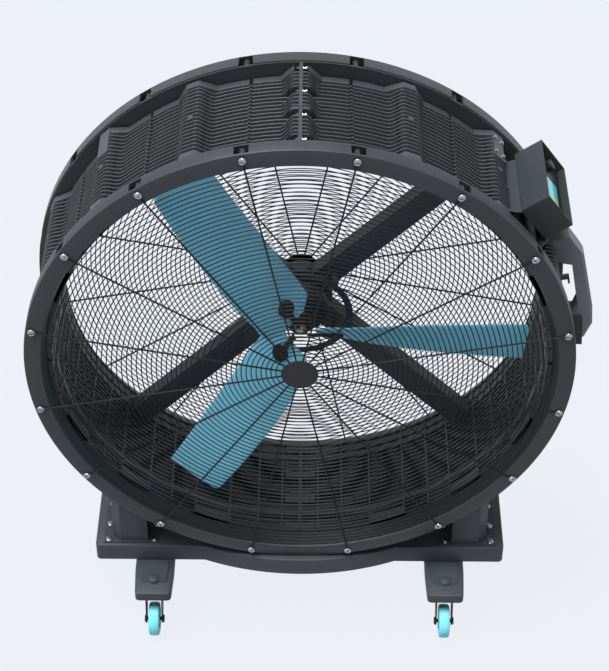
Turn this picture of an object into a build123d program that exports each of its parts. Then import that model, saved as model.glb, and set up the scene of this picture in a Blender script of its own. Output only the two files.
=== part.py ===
from build123d import *
import math
import os

os.makedirs("parts", exist_ok=True)

# Large drum fan on a castor base. Millimetres, +Z up, the fan blows along Y and its front faces -Y.
# The origin is on the floor, under the middle of the whole object.

# Drum
drum_depth = 450.0
rim_outer_radius = 763.0
rim_sides = 48
rim_depth = 46.0
rim_bevel = 8.0
rim_wall = 7.0
rim_face = 48.0
rim_taper = 13.0
screw_count = 16
screw_inset = 18.0
notch_outer_width = 46.0
notch_inner_width = 26.0
notch_depth = 26.0

# Louvred panels, four to a drum
joint_drop = 1.0
bump_drop = 27.0
valley_drop = 56.0
fin_height = 17.0
bump_half_width = 30.0
bump_foot = 55.0
joint_half_width = 22.0
joint_foot = 50.0
joint_bar = 6.5
fin_count = 6
fin_thickness = 9.0
end_flange = 5.0
rib_width = 8.0
rib_depth = 8.0
arm_pad_front = 325.0
arm_pad_half_width = 37.0

# Wire guards
wire = 5.0
ring_wire = 4.0
ring_count = 7
ring_first_radius = 90.0
ring_edge_gap = 11.0
ring_sides = 24
small_ring_sides = 16
small_ring_radius = 350.0
spoke_root_radius = 30.0
spoke_overrun = 12.0
guard_disc_radius = 52.0
guard_disc_thickness = 3.0

# Fan wheel
blade_count = 3
first_blade_angle = -1.8
blade_root_radius = 45.0
blade_tip_gap = 53.0
blade_root_flat = 81.0
blade_root_chamfers = (38.0, 30.0)
blade_thickness = 6.0
blade_corner_radius = 16.0
hub_radius = 33.0
hub_front = 188.0
hub_length = 50.0
hub_arm_root = 20.0
hub_arm_width = 24.0
hub_arm_thickness = 8.0
hub_pad_radius = 26.0
hub_pad_station = 92.0
hub_pad_offset = -35.0
backing_length = 64.0
backing_width = 48.0
backing_thickness = 6.0
shaft_radius = 12.0
hub_nut_radius = 16.0
hub_nut_height = 18.0
hub_nut_chamfer = 4.5

# Motor and the frame that carries it
motor_radius = 61.0
motor_sides = 32
motor_front = 290.0
motor_rear = 404.0
motor_cap_depth = 26.0
motor_cap_chamfer = 13.0
motor_shield_radius = 80.0
motor_shield_front = 250.0
cradle_width = 152.0
cradle_corner = 22.0
arm_width = 70.0
arm_depth = 50.0
arm_wall = 4.0
arm_front = 327.0
guard_ring_outer = 150.0
guard_ring_inner = 130.0
guard_ring_thickness = 6.0
post_width = 12.0

# Base tray and gussets
base_half_width = 623.0
base_front = 40.0
base_bulge = 55.0
bulge_half_width = 290.0
apron_depth = 62.0
sheet = 4.0
gusset_inner = 463.0
gusset_outer = 569.0
gusset_front = 58.0
gusset_blank = 305.0
gusset_fold_width = 24.0
gusset_fold_depth = 18.0
foot_plate_inner = 428.0
foot_plate_outer = 598.0
foot_plate_front = 50.0

# Castors
castor_x = 443.0
kingpin_depth = -41.0
castor_height = 147.0
castor_trail = 44.0
wheel_radius = 52.0
wheel_width = 32.0
wheel_sides = 32
axle_radius = 6.0
axle_nut = 4.0
fork_width = 52.0
fork_sheet = 4.0
crown_radius = 28.0
crown_thickness = 6.0
kingpin_radius = 8.0
kingpin_head_radius = 17.0
kingpin_head_height = 11.0
pad_thickness = 36.0
pad_width = 118.0
pad_nose_width = 98.0
pad_nose_depth = -97.0
pad_tail_depth = 120.0
pad_corner = 14.0
pad_wall = 6.0
pin_sides = 12
upright_width = 100.0
upright_front = 50.0

# Control box, on the upper right of the drum
box_angle = 36.0
box_floor_lift = 2.0
box_height = 85.0
box_half_width = 62.0
box_front = 100.0
box_rear = 350.0
panel_recess = 22.0
screen_edge_gap = 44.0
screen_length = 110.0
screen_width = 70.0
knob_radius = 17.0
knob_height = 16.0
knob_taper = 6.0
knob_depth_from_rear = 42.0
lamp_radius = 8.0
bracket_front = 56.0
bracket_rear = 370.0

# Handle, on the right of the drum
handle_reach = 67.0
handle_top_leg = 28.0
handle_chamfer = 7.0
handle_foot_sheet = 12.0
handle_foot_low = 55.0
handle_foot_high = 45.0
handle_foot_reach = 43.0
handle_foot_slant = 8.0
hook_width = 12.0
hook_reach = 7.0
hook_lip = 16.0

# Fits
seat_gap = 0.3
running_gap = 0.05

# Worked out from the sizes above
base_top = castor_height + pad_thickness + apron_depth
axis_height = base_top + seat_gap + rim_outer_radius
axis_x = -handle_reach / 2
rim_opening_radius = rim_outer_radius - rim_face
rim_throat_radius = rim_opening_radius - rim_taper
joint_radius = rim_outer_radius - joint_drop
bump_radius = rim_outer_radius - bump_drop
valley_radius = rim_outer_radius - valley_drop
panel_inner_radius = valley_radius - fin_height
screw_circle_radius = rim_outer_radius - screw_inset
spoke_end_radius = screw_circle_radius + spoke_overrun
ring_last_radius = rim_opening_radius - ring_edge_gap
blade_tip_radius = panel_inner_radius - blade_tip_gap
box_floor_radius = rim_outer_radius + box_floor_lift
drum_axis = Axis((axis_x, 0, axis_height), (0, -1, 0))
screw_angles = [(k + 0.5) * 360 / screw_count for k in range(screw_count)]
blade_angles = [first_blade_angle + k * 360 / blade_count for k in range(blade_count)]
arm_angles = [45, 135, 225, 315]


def save(piece, name):
    """Label one piece and write its STEP file."""
    piece.label = name
    export_step(piece, "parts/" + name + ".step")


def polar(radius, angle, sideways=0.0):
    """Point seen from the front, out from the drum's axis at an angle, then square to that line."""
    turn = math.radians(angle)
    across_x = radius * math.cos(turn) - sideways * math.sin(turn)
    across_z = radius * math.sin(turn) + sideways * math.cos(turn)
    return (across_x, across_z)


def across(depth):
    """Plane square to the drum's axis, at a depth behind the front rim, facing the front."""
    return Plane(
        origin=(axis_x, depth - drum_depth / 2, axis_height), x_dir=(1, 0, 0), z_dir=(0, -1, 0)
    )


def facing_out(angle, radius, depth):
    """Plane tangent to the drum, facing out; its x runs to the rear and its y round the drum."""
    place = polar(radius, angle)
    outward = polar(1.0, angle)
    return Plane(
        origin=(axis_x + place[0], depth - drum_depth / 2, axis_height + place[1]),
        x_dir=(0, 1, 0),
        z_dir=(outward[0], 0, outward[1]),
    )


def turned_plane(plane, angle):
    """The same plane, turned about the drum's axis as seen from the front."""
    centre = Location((axis_x, 0, axis_height))
    return Plane(centre * Location((0, 0, 0), (0, -angle, 0)) * centre.inverse() * plane.location)


def turned(piece, angle):
    """A copy of a drum piece, turned about the drum's axis as seen from the front."""
    return piece.rotate(drum_axis, angle)


# Rims: moulded channels, open towards the panels, with a notch in the outer wall at every screw.
with BuildPart() as front_rim:
    with BuildSketch(across(rim_depth)):
        RegularPolygon(rim_outer_radius, rim_sides)
    extrude(amount=rim_depth)
    chamfer(front_rim.faces().sort_by(Axis.Y)[0].edges(), rim_bevel)
    with BuildSketch(across(rim_depth)):
        RegularPolygon(rim_outer_radius - rim_wall, rim_sides)
        RegularPolygon(rim_opening_radius + rim_wall, rim_sides, mode=Mode.SUBTRACT)
    extrude(amount=rim_depth - rim_bevel, mode=Mode.SUBTRACT)
    with BuildSketch(across(0)):
        RegularPolygon(rim_opening_radius, rim_sides)
    with BuildSketch(across(rim_depth)):
        RegularPolygon(rim_throat_radius, rim_sides)
    loft(mode=Mode.SUBTRACT)
    with BuildSketch(*[facing_out(a, rim_outer_radius, rim_depth) for a in screw_angles]):
        Polygon(
            (0, -notch_outer_width / 2),
            (0, notch_outer_width / 2),
            (-notch_depth, notch_inner_width / 2),
            (-notch_depth, -notch_inner_width / 2),
            align=None,
        )
    extrude(amount=-1.5 * rim_wall, mode=Mode.SUBTRACT)
save(front_rim.part, "front_rim")
save(mirror(front_rim.part, about=Plane.XZ), "rear_rim")


# Louvred panels: quarter rings of flat fins that rise over ribs of the wall and over the joints.
rib_step = 360 / screw_count
inner_corner_radius = panel_inner_radius / math.cos(math.radians(rib_step / 2))
inner_outline = [polar(inner_corner_radius, 90 - rib_step * k) for k in range(5)]
joint_foot_angle = math.degrees(math.asin(joint_foot / valley_radius))
bump_foot_angle = math.degrees(math.asin(bump_foot / valley_radius))


def bump_outline(angle):
    """Outer edge of a fin over one raised rib of the wall."""
    return [
        polar(valley_radius, angle - bump_foot_angle),
        polar(bump_radius, angle, -bump_half_width),
        polar(bump_radius, angle, bump_half_width),
        polar(valley_radius, angle + bump_foot_angle),
    ]


fin_outline = [polar(joint_radius, 0), polar(joint_radius, 0, joint_half_width)]
fin_outline += [polar(valley_radius, joint_foot_angle)]
fin_outline += bump_outline(22.5) + bump_outline(45) + bump_outline(67.5)
fin_outline += [polar(valley_radius, 90 - joint_foot_angle)]
fin_outline += [polar(joint_radius, 90, -joint_half_width), polar(joint_radius, 90)]
flange_outline = [polar(joint_radius, rib_step / 2 * k) for k in range(9)]
louvre_front = rim_depth + end_flange
louvre_rear = drum_depth - rim_depth - end_flange
fin_pitch = (louvre_rear - louvre_front) / (fin_count + 1)
fin_depths = [louvre_front + fin_pitch * (k + 1) + fin_thickness / 2 for k in range(fin_count)]
panel_length = drum_depth - 2 * rim_depth
with BuildPart() as panel:
    with BuildSketch(*[across(depth) for depth in fin_depths]):
        Polygon(*fin_outline, *inner_outline, align=None)
    extrude(amount=fin_thickness)
    with BuildSketch(across(louvre_front), across(louvre_rear + end_flange)):
        Polygon(*flange_outline, *inner_outline, align=None)
    extrude(amount=end_flange)
    with BuildSketch(across(drum_depth - rim_depth)):
        for angle in (1.5 * rib_step, 2.5 * rib_step):
            with Locations(Location((*polar(panel_inner_radius - rib_depth / 2, angle), 0), angle)):
                Rectangle(rib_depth, rib_width)
        for angle, thickness in ((0, joint_bar), (90, -joint_bar)):
            Polygon(
                polar(inner_corner_radius, angle),
                polar(joint_radius, angle),
                polar(joint_radius, angle, thickness),
                polar(inner_corner_radius, angle, thickness),
                align=None,
            )
    extrude(amount=panel_length)
    with BuildSketch(across(louvre_rear)):
        Polygon(
            polar(panel_inner_radius, 45, -arm_pad_half_width),
            polar(bump_radius, 45, -bump_half_width),
            polar(bump_radius, 45, bump_half_width),
            polar(panel_inner_radius, 45, arm_pad_half_width),
            align=None,
        )
    extrude(amount=louvre_rear - arm_pad_front)
for name, quarter in (("top_right", 0), ("top_left", 90), ("bottom_left", 180), ("bottom_right", 270)):
    save(turned(panel.part, quarter), "panel_" + name)


# Wire guards: square spokes from the middle to the rim's screws, with polygonal rings behind them.
def guard_ring(radius, sides):
    """One ring of wire of triangular section, lying against the backs of the spokes."""
    corner = radius / math.cos(math.pi / sides)
    corners = [polar(corner, 360 * (k + 0.5) / sides) for k in range(sides)]
    with BuildPart() as ring:
        with BuildLine(across(0)) as path:
            Polyline(*corners, close=True)
        start = path.line @ 0
        with BuildSketch(Plane(origin=start, x_dir=(0, 1, 0), z_dir=path.line % 0)):
            Polygon((0, -ring_wire / 2), (0, ring_wire / 2), (ring_wire, 0), align=None)
        sweep(path=path.line, transition=Transition.RIGHT)
    return ring.part


ring_pitch = (ring_last_radius - ring_first_radius) / (ring_count - 1)
guard_rings = []
for radius in [ring_first_radius + ring_pitch * k for k in range(ring_count)]:
    sides = small_ring_sides if radius < small_ring_radius else ring_sides
    guard_rings.append(guard_ring(radius, sides))
with BuildPart() as spokes:
    with BuildSketch(across(0)):
        middle = (spoke_end_radius + spoke_root_radius) / 2
        with PolarLocations(middle, screw_count, start_angle=screw_angles[0]):
            Rectangle(spoke_end_radius - spoke_root_radius, wire)
    extrude(amount=wire)
front_grille = Compound(children=[*spokes.part.solids(), *[r.solids()[0] for r in guard_rings]])
save(front_grille, "front_grille")
save(mirror(front_grille, about=Plane.XZ), "rear_grille")

with BuildPart() as front_grille_disc:
    with BuildSketch(across(-wire)):
        RegularPolygon(guard_disc_radius, ring_sides)
    extrude(amount=guard_disc_thickness)
save(front_grille_disc.part, "front_grille_disc")
save(mirror(front_grille_disc.part, about=Plane.XZ), "rear_grille_disc")


# Blades: a flat root that the hub clamps, then a long twist to a nearly flat tip.
# Each station is its share of the way along the twist, then the blade's chord, pitch, lead of the
# middle of the chord, and depth behind the front rim there.
root_station = (185.0, 40.5, 7.0, 164.0)
twist_start = blade_root_radius + blade_root_flat
twist_stations = [
    (0.0, *root_station),
    (0.19, 187.0, 33.6, 12.0, 152.0),
    (0.46, 185.0, 26.0, 16.0, 144.0),
    (0.75, 179.0, 19.6, 19.0, 139.0),
    (1.0, 172.0, 14.5, 19.0, 139.0),
]


def blade_plane(radius, pitch, lead, depth):
    """Plane across a blade that points along X; its x runs along the chord to the front edge."""
    slope = math.radians(pitch)
    return Plane(
        origin=(axis_x + radius, depth - drum_depth / 2, axis_height + lead),
        x_dir=(0, -math.sin(slope), math.cos(slope)),
        z_dir=(1, 0, 0),
    )


with BuildPart() as blade:
    for share, chord, pitch, lead, depth in twist_stations:
        radius = twist_start + share * (blade_tip_radius - twist_start)
        with BuildSketch(blade_plane(radius, pitch, lead, depth)):
            Rectangle(chord, blade_thickness)
    loft()
    with BuildSketch(blade_plane(blade_root_radius, *root_station[1:])):
        Rectangle(root_station[0], blade_thickness)
    extrude(amount=blade_root_flat)
    root_edges = blade.faces().sort_by(Axis.X)[0].edges().sort_by(SortBy.LENGTH)[:2]
    chamfer(root_edges, *blade_root_chamfers)
    tip_edges = blade.faces().sort_by(Axis.X)[-1].edges().sort_by(SortBy.LENGTH)[:2]
    fillet(tip_edges.sort_by(Axis.Z)[-1:], blade_corner_radius)
for number, angle in enumerate(blade_angles, start=1):
    save(turned(blade.part, angle), "blade_" + str(number))


# Hub: a turned boss on the shaft, with a flat arm and a round pad in front of each blade's root.
def blade_seat(side):
    """Planes on the flat roots of the blades, at the pads; side 1 is in front and -1 behind."""
    root_plane = blade_plane(hub_pad_station, *root_station[1:])
    place = root_plane.from_local_coords((hub_pad_offset, side * blade_thickness / 2, 0))
    seat = Plane(origin=place, x_dir=(1, 0, 0), z_dir=root_plane.y_dir * side)
    return [turned_plane(seat, angle) for angle in blade_angles]


hub_rear = hub_front + hub_length
with BuildPart() as hub:
    with BuildSketch(across(hub_rear)):
        RegularPolygon(hub_radius, 20)
    extrude(amount=hub_length)
    with BuildSketch(*blade_seat(1)):
        RegularPolygon(hub_pad_radius, 10)
        with Locations(((hub_arm_root - hub_pad_station) / 2, 0)):
            Rectangle(hub_pad_station - hub_arm_root, hub_arm_width)
    extrude(amount=hub_arm_thickness)
    with BuildSketch(across(hub_rear)):
        Circle(shaft_radius + running_gap)
    extrude(amount=hub_length, mode=Mode.SUBTRACT)
save(hub.part, "hub")

with BuildPart() as blade_backing_plates:
    with BuildSketch(*blade_seat(-1)):
        Rectangle(backing_length, backing_width)
    extrude(amount=backing_thickness)
save(blade_backing_plates.part, "blade_backing_plates")

# Shaft, from the motor's front bearing to the nut that holds the hub.
with BuildPart() as fan_shaft:
    with BuildSketch(across(motor_front - shaft_radius)):
        Circle(shaft_radius)
    extrude(amount=motor_front - shaft_radius - hub_front)
save(fan_shaft.part, "fan_shaft")

with BuildPart() as hub_nut:
    with BuildSketch(across(hub_front)):
        RegularPolygon(hub_nut_radius, 6)
    extrude(amount=hub_nut_height)
    chamfer(hub_nut.faces().sort_by(Axis.Y)[0].edges(), hub_nut_chamfer)
save(hub_nut.part, "hub_nut")

# Motor: a wide front bearing shield, then a closed round housing with a domed rear cover.
with BuildPart() as motor_front_shield:
    with BuildSketch(across(motor_front)):
        RegularPolygon(motor_shield_radius, motor_sides)
        Circle(shaft_radius + running_gap, mode=Mode.SUBTRACT)
    extrude(amount=motor_front - motor_shield_front)
save(motor_front_shield.part, "motor_front_shield")

with BuildPart() as motor_housing:
    with BuildSketch(across(motor_rear)):
        RegularPolygon(motor_radius, motor_sides)
    extrude(amount=motor_rear - motor_front)
save(motor_housing.part, "motor_housing")

with BuildPart() as motor_rear_cover:
    with BuildSketch(across(motor_rear + motor_cap_depth)):
        RegularPolygon(motor_radius, motor_sides)
    extrude(amount=motor_cap_depth)
    chamfer(motor_rear_cover.faces().sort_by(Axis.Y)[-1].edges(), motor_cap_chamfer)
save(motor_rear_cover.part, "motor_rear_cover")

# Cradle: a square collar round the motor, its four sides facing the arms.
with BuildPart() as motor_cradle:
    with BuildSketch(across(arm_front + arm_depth)) as collar:
        Rectangle(cradle_width, cradle_width, rotation=45)
        chamfer(collar.vertices(), cradle_corner)
        RegularPolygon(motor_radius + seat_gap, motor_sides, mode=Mode.SUBTRACT)
    extrude(amount=arm_depth)
save(motor_cradle.part, "motor_cradle")

# Arms: pressed channels from the cradle out to the pads of the panels, open to the rear.
with BuildPart() as motor_arms:
    with BuildSketch(*[facing_out(a, cradle_width / 2, arm_front) for a in arm_angles]):
        with Locations((arm_depth / 2, 0)):
            Rectangle(arm_depth, arm_width)
        with Locations((arm_depth / 2 + arm_wall / 2, 0)):
            Rectangle(arm_depth - arm_wall, arm_width - 2 * arm_wall, mode=Mode.SUBTRACT)
    extrude(amount=panel_inner_radius - cradle_width / 2)
save(motor_arms.part, "motor_arms")

# Guard ring: a flat hoop in front of the motor, on four posts that stand on the arms.
with BuildPart() as motor_guard_ring:
    with BuildSketch(across(motor_shield_front + guard_ring_thickness / 2)):
        RegularPolygon(guard_ring_outer, ring_sides)
        RegularPolygon(guard_ring_inner, ring_sides, mode=Mode.SUBTRACT)
    extrude(amount=guard_ring_thickness)
    with BuildSketch(across(arm_front)):
        with PolarLocations((guard_ring_outer + guard_ring_inner) / 2, 4, start_angle=45):
            Rectangle(post_width, post_width)
    extrude(amount=arm_front - motor_shield_front)
save(motor_guard_ring.part, "motor_guard_ring")

# Base: a tray folded from sheet, its long edges bulging at the middle, with a hollow underside.
def base_point(x, depth):
    """Place on the base in plan, from the drum's axis and the depth behind the front rim."""
    return (axis_x + x, depth - drum_depth / 2)


def tray_outline(inset):
    """Outline of the tray in plan, set in from its edge all round."""
    front = base_front + inset
    rear = drum_depth - front
    side = base_half_width - inset
    with BuildSketch() as outline:
        with BuildLine():
            Line(base_point(-side, front), base_point(-bulge_half_width, front))
            ThreePointArc(
                base_point(-bulge_half_width, front),
                base_point(0, front - base_bulge),
                base_point(bulge_half_width, front),
            )
            Line(base_point(bulge_half_width, front), base_point(side, front))
            Line(base_point(side, front), base_point(side, rear))
            Line(base_point(side, rear), base_point(bulge_half_width, rear))
            ThreePointArc(
                base_point(bulge_half_width, rear),
                base_point(0, rear + base_bulge),
                base_point(-bulge_half_width, rear),
            )
            Line(base_point(-bulge_half_width, rear), base_point(-side, rear))
            Line(base_point(-side, rear), base_point(-side, front))
        make_face()
    return outline.sketch


with BuildPart() as base_tray:
    with BuildSketch(Plane.XY.offset(base_top - apron_depth)):
        add(tray_outline(0))
    extrude(amount=apron_depth)
    with BuildSketch(Plane.XY.offset(base_top - apron_depth)):
        add(tray_outline(sheet))
    extrude(amount=apron_depth - sheet, mode=Mode.SUBTRACT)
save(base_tray.part, "base_tray")

# Gussets: folded brackets that stand on the tray and hold the drum between their curved tops.
gusset_rear = drum_depth - gusset_front
gusset_outline = [
    (gusset_inner, gusset_front),
    (gusset_outer - gusset_fold_width, gusset_front),
    (gusset_outer, gusset_front + gusset_fold_depth),
    (gusset_outer, gusset_rear - gusset_fold_depth),
    (gusset_outer - gusset_fold_width, gusset_rear),
    (gusset_inner, gusset_rear),
]
gusset_hollow = [
    (gusset_inner - sheet, gusset_front + sheet),
    (gusset_outer - gusset_fold_width - sheet / 2, gusset_front + sheet),
    (gusset_outer - sheet, gusset_front + gusset_fold_depth + sheet / 2),
    (gusset_outer - sheet, gusset_rear - gusset_fold_depth - sheet / 2),
    (gusset_outer - gusset_fold_width - sheet / 2, gusset_rear - sheet),
    (gusset_inner - sheet, gusset_rear - sheet),
]
with BuildPart() as gusset:
    with BuildSketch(Plane.XY.offset(base_top)):
        Polygon(*[base_point(*corner) for corner in gusset_outline], align=None)
    extrude(amount=gusset_blank)
    with BuildSketch(Plane.XY.offset(base_top)):
        Polygon(*[base_point(*corner) for corner in gusset_hollow], align=None)
    extrude(amount=gusset_blank, mode=Mode.SUBTRACT)
    with BuildSketch(Plane.XY.offset(base_top)):
        Polygon(
            base_point(foot_plate_inner, foot_plate_front),
            base_point(foot_plate_outer, foot_plate_front),
            base_point(foot_plate_outer, drum_depth - foot_plate_front),
            base_point(foot_plate_inner, drum_depth - foot_plate_front),
            align=None,
        )
    extrude(amount=sheet)
    with BuildSketch(across(drum_depth)):
        Circle(rim_outer_radius + seat_gap)
    extrude(amount=drum_depth, mode=Mode.SUBTRACT)
save(gusset.part, "gusset_right")
axis_plane = Plane(origin=(axis_x, 0, 0), x_dir=(0, 1, 0), z_dir=(1, 0, 0))
save(mirror(gusset.part, about=axis_plane), "gusset_left")

# Castor brackets: cast pads under the tray that reach out past its edge, with a post inside it.
with BuildPart() as castor_bracket:
    with BuildSketch(Plane.XY.offset(castor_height)):
        Polygon(
            base_point(castor_x - pad_nose_width / 2, pad_nose_depth),
            base_point(castor_x + pad_nose_width / 2, pad_nose_depth),
            base_point(castor_x + pad_width / 2, 0),
            base_point(castor_x + pad_width / 2, pad_tail_depth),
            base_point(castor_x - pad_width / 2, pad_tail_depth),
            base_point(castor_x - pad_width / 2, 0),
            align=None,
        )
    extrude(amount=pad_thickness)
    nose_edges = castor_bracket.edges().filter_by(Axis.Z).group_by(Axis.Y)[0]
    chamfer(nose_edges, pad_corner)
    with BuildSketch(Plane.XY.offset(castor_height + pad_thickness)):
        with Locations(base_point(castor_x, (upright_front + pad_tail_depth) / 2)):
            Rectangle(upright_width, pad_tail_depth - upright_front)
    extrude(amount=apron_depth - sheet)
    with BuildSketch(Plane.XY.offset(castor_height)):
        with Locations(base_point(castor_x, (upright_front + pad_tail_depth) / 2)):
            Rectangle(
                upright_width - 2 * pad_wall, pad_tail_depth - upright_front - 2 * pad_wall
            )
    extrude(amount=pad_thickness + apron_depth - sheet - pad_wall, mode=Mode.SUBTRACT)
    with BuildSketch(Plane.XY.offset(castor_height)):
        with Locations(base_point(castor_x, kingpin_depth)):
            RegularPolygon(kingpin_radius + running_gap, pin_sides)
    extrude(amount=pad_thickness, mode=Mode.SUBTRACT)


def at_corner(piece, side, end):
    """Copy a piece of the front right castor to another corner of the base."""
    if side == "left":
        piece = mirror(piece, about=axis_plane)
    if end == "rear":
        piece = mirror(piece, about=Plane.XZ)
    return piece


for side in ("right", "left"):
    for end in ("front", "rear"):
        save(at_corner(castor_bracket.part, side, end), "castor_bracket_" + end + "_" + side)

# Castors: a swivelling fork on a kingpin, with a wheel on an axle that trails behind it.
pin_x, pin_y = base_point(castor_x, kingpin_depth)
crown_top = castor_height - seat_gap
crown_bottom = crown_top - crown_thickness
with BuildPart() as kingpin:
    with BuildSketch(Plane.XY.offset(crown_top)):
        with Locations((pin_x, pin_y)):
            RegularPolygon(kingpin_radius, pin_sides)
    extrude(amount=castor_height + pad_thickness - crown_top)
    with BuildSketch(Plane.XY.offset(castor_height + pad_thickness)):
        with Locations((pin_x, pin_y)):
            RegularPolygon(kingpin_head_radius, 6)
    extrude(amount=kingpin_head_height)
kingpins = []
for side in ("right", "left"):
    for end in ("front", "rear"):
        kingpins.append(at_corner(kingpin.part, side, end).solids()[0])
save(Compound(children=kingpins), "castor_kingpins")

fork_plane = Plane(origin=(pin_x - fork_width / 2, pin_y, 0), x_dir=(0, 1, 0), z_dir=(1, 0, 0))
with BuildPart() as castor_fork:
    with BuildSketch(fork_plane):
        Polygon(
            (crown_radius, crown_top),
            (-crown_radius, crown_top),
            (-castor_trail - 2 * axle_radius, wheel_radius + axle_radius),
            (-castor_trail - 2 * axle_radius, wheel_radius - axle_radius),
            (-castor_trail - axle_radius, wheel_radius - 2 * axle_radius),
            (-castor_trail + axle_radius, wheel_radius - 2 * axle_radius),
            (crown_radius, crown_bottom - crown_radius),
            align=None,
        )
    extrude(amount=fork_width)
    with BuildSketch(fork_plane.offset(fork_sheet)):
        Polygon(
            (crown_radius + 1, crown_bottom),
            (-castor_trail * 2, crown_bottom),
            (-castor_trail * 2, 0),
            (crown_radius + 1, 0),
            align=None,
        )
    extrude(amount=fork_width - 2 * fork_sheet, mode=Mode.SUBTRACT)

with BuildPart() as castor_axle:
    with BuildSketch(fork_plane.offset(fork_sheet)):
        with Locations((-castor_trail, wheel_radius)):
            RegularPolygon(axle_radius, pin_sides)
    extrude(amount=fork_width - 2 * fork_sheet)
    for nut_plane in (fork_plane.offset(fork_width), fork_plane.offset(-axle_nut)):
        with BuildSketch(nut_plane):
            with Locations((-castor_trail, wheel_radius)):
                RegularPolygon(2 * axle_radius, 6)
        extrude(amount=axle_nut)

with BuildPart() as castor_wheel:
    with BuildSketch(fork_plane.offset((fork_width - wheel_width) / 2)):
        with Locations((-castor_trail, wheel_radius)):
            RegularPolygon(wheel_radius, wheel_sides)
            Circle(axle_radius + running_gap, mode=Mode.SUBTRACT)
    extrude(amount=wheel_width)
for side in ("right", "left"):
    for end in ("front", "rear"):
        corner = end + "_" + side
        save(at_corner(castor_fork.part, side, end), "castor_fork_" + corner)
        save(at_corner(castor_axle.part, side, end), "castor_axle_" + corner)
        save(at_corner(castor_wheel.part, side, end), "castor_wheel_" + corner)


# Control box: a deep open hood on a folded bracket, with the panel set down inside it.
def on_box(height, sideways):
    """Place in the section of the box, out from the drum's axis and round the drum."""
    return polar(height, box_angle, sideways)


def box_slab(bottom, top, half_width):
    """Corners of a rectangle in the section of the box."""
    return [
        on_box(bottom, -half_width),
        on_box(top, -half_width),
        on_box(top, half_width),
        on_box(bottom, half_width),
    ]


with BuildPart() as control_box:
    with BuildSketch(across(box_rear)):
        Polygon(*box_slab(box_floor_radius, box_floor_radius + box_height, box_half_width), align=None)
    extrude(amount=box_rear - box_front)
    with BuildSketch(across(box_rear - sheet)):
        Polygon(
            *box_slab(
                box_floor_radius + sheet, box_floor_radius + 2 * box_height, box_half_width - sheet
            ),
            align=None,
        )
    extrude(amount=box_rear - box_front - 2 * sheet, mode=Mode.SUBTRACT)
save(control_box.part, "control_box")

panel_top = box_floor_radius + box_height - panel_recess
panel_half_width = box_half_width - sheet - seat_gap
with BuildPart() as control_panel:
    with BuildSketch(across(box_rear - sheet - seat_gap)):
        Polygon(*box_slab(box_floor_radius + sheet, panel_top, panel_half_width), align=None)
    extrude(amount=box_rear - box_front - 2 * sheet - 2 * seat_gap)
save(control_panel.part, "control_panel")

panel_plane = facing_out(box_angle, panel_top, 0)
knob_depth = box_rear - knob_depth_from_rear
screen_depth = box_front + screen_edge_gap + screen_length / 2
with BuildPart() as control_screen:
    with BuildSketch(panel_plane):
        with Locations((screen_depth, 0)):
            Rectangle(screen_length, screen_width)
    extrude(amount=sheet / 2)
save(control_screen.part, "control_screen")

with BuildPart() as control_knob:
    with BuildSketch(panel_plane.offset(seat_gap)):
        with Locations((knob_depth, 0)):
            RegularPolygon(knob_radius, 20)
    extrude(amount=knob_height, taper=knob_taper)
save(control_knob.part, "control_knob")

with BuildPart() as control_lamp:
    with BuildSketch(panel_plane):
        with Locations((knob_depth, knob_radius + 2 * lamp_radius)):
            RegularPolygon(lamp_radius, 16)
    extrude(amount=sheet)
save(control_lamp.part, "control_lamp")

# Bracket of the control box: one folded strip from a raised rib of the drum down to the valley.
bracket_foot_angle = 1.5 * rib_step
bracket_foot_span = rib_step / 2 - bump_foot_angle
bracket_foot_radius = valley_radius * math.cos(math.radians(bracket_foot_span))
bracket_foot_radius += seat_gap + sheet / 2
bracket_line = [
    polar(bump_radius + sheet / 2 + seat_gap, 45, -bump_half_width / 2),
    polar(bump_radius + sheet / 2 + seat_gap, 45, bump_half_width),
    polar(box_floor_radius - sheet / 2, 45, bump_half_width),
    polar(box_floor_radius - sheet / 2, box_angle, box_half_width),
    polar(box_floor_radius - sheet / 2, box_angle, -box_half_width),
    polar(bracket_foot_radius, bracket_foot_angle, -bump_half_width),
    polar(bracket_foot_radius, bracket_foot_angle, -2 * bump_half_width),
]
with BuildPart() as control_bracket:
    with BuildSketch(across(bracket_rear)):
        with BuildLine():
            Polyline(*bracket_line)
        trace(line_width=sheet)
    extrude(amount=bracket_rear - bracket_front)
save(control_bracket.part, "control_bracket")

# Handle: a chunky moulded grip with an elbow at each end, standing on the drum's right side.
# It is as wide as the two middle fins are apart, so that both carry it. Its corners are given out
# from the drum's outer radius and up from the drum's axis.
handle_width = fin_pitch
handle_foot_width = handle_width + 2 * handle_foot_sheet
upper_seat = bump_radius + seat_gap
lower_seat = joint_radius + seat_gap + sheet
grip_corners = [
    (-28, 330),
    (20, 260),
    (61, 75),
    (handle_reach, 12),
    (48, -42),
    (22, -handle_foot_low),
]
inner_corners = [(16, 91), (-11, 230), (-35, 234)]
with BuildPart() as handle:
    with BuildSketch(across((drum_depth + handle_width) / 2)):
        Polygon(
            polar(upper_seat, rib_step, handle_top_leg),
            *[(rim_outer_radius + out, height) for out, height in grip_corners],
            (lower_seat, -handle_foot_high),
            (lower_seat, handle_foot_high),
            *[(rim_outer_radius + out, height) for out, height in inner_corners],
            polar(upper_seat, rib_step, -handle_top_leg),
            align=None,
        )
    extrude(amount=handle_width)
    outer_edges = (
        handle.faces().filter_by(Axis.Y).edges().filter_by(
            lambda edge: edge.center().X > axis_x + rim_outer_radius + sheet
        )
    )
    chamfer(outer_edges, handle_chamfer)
save(handle.part, "handle")

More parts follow.
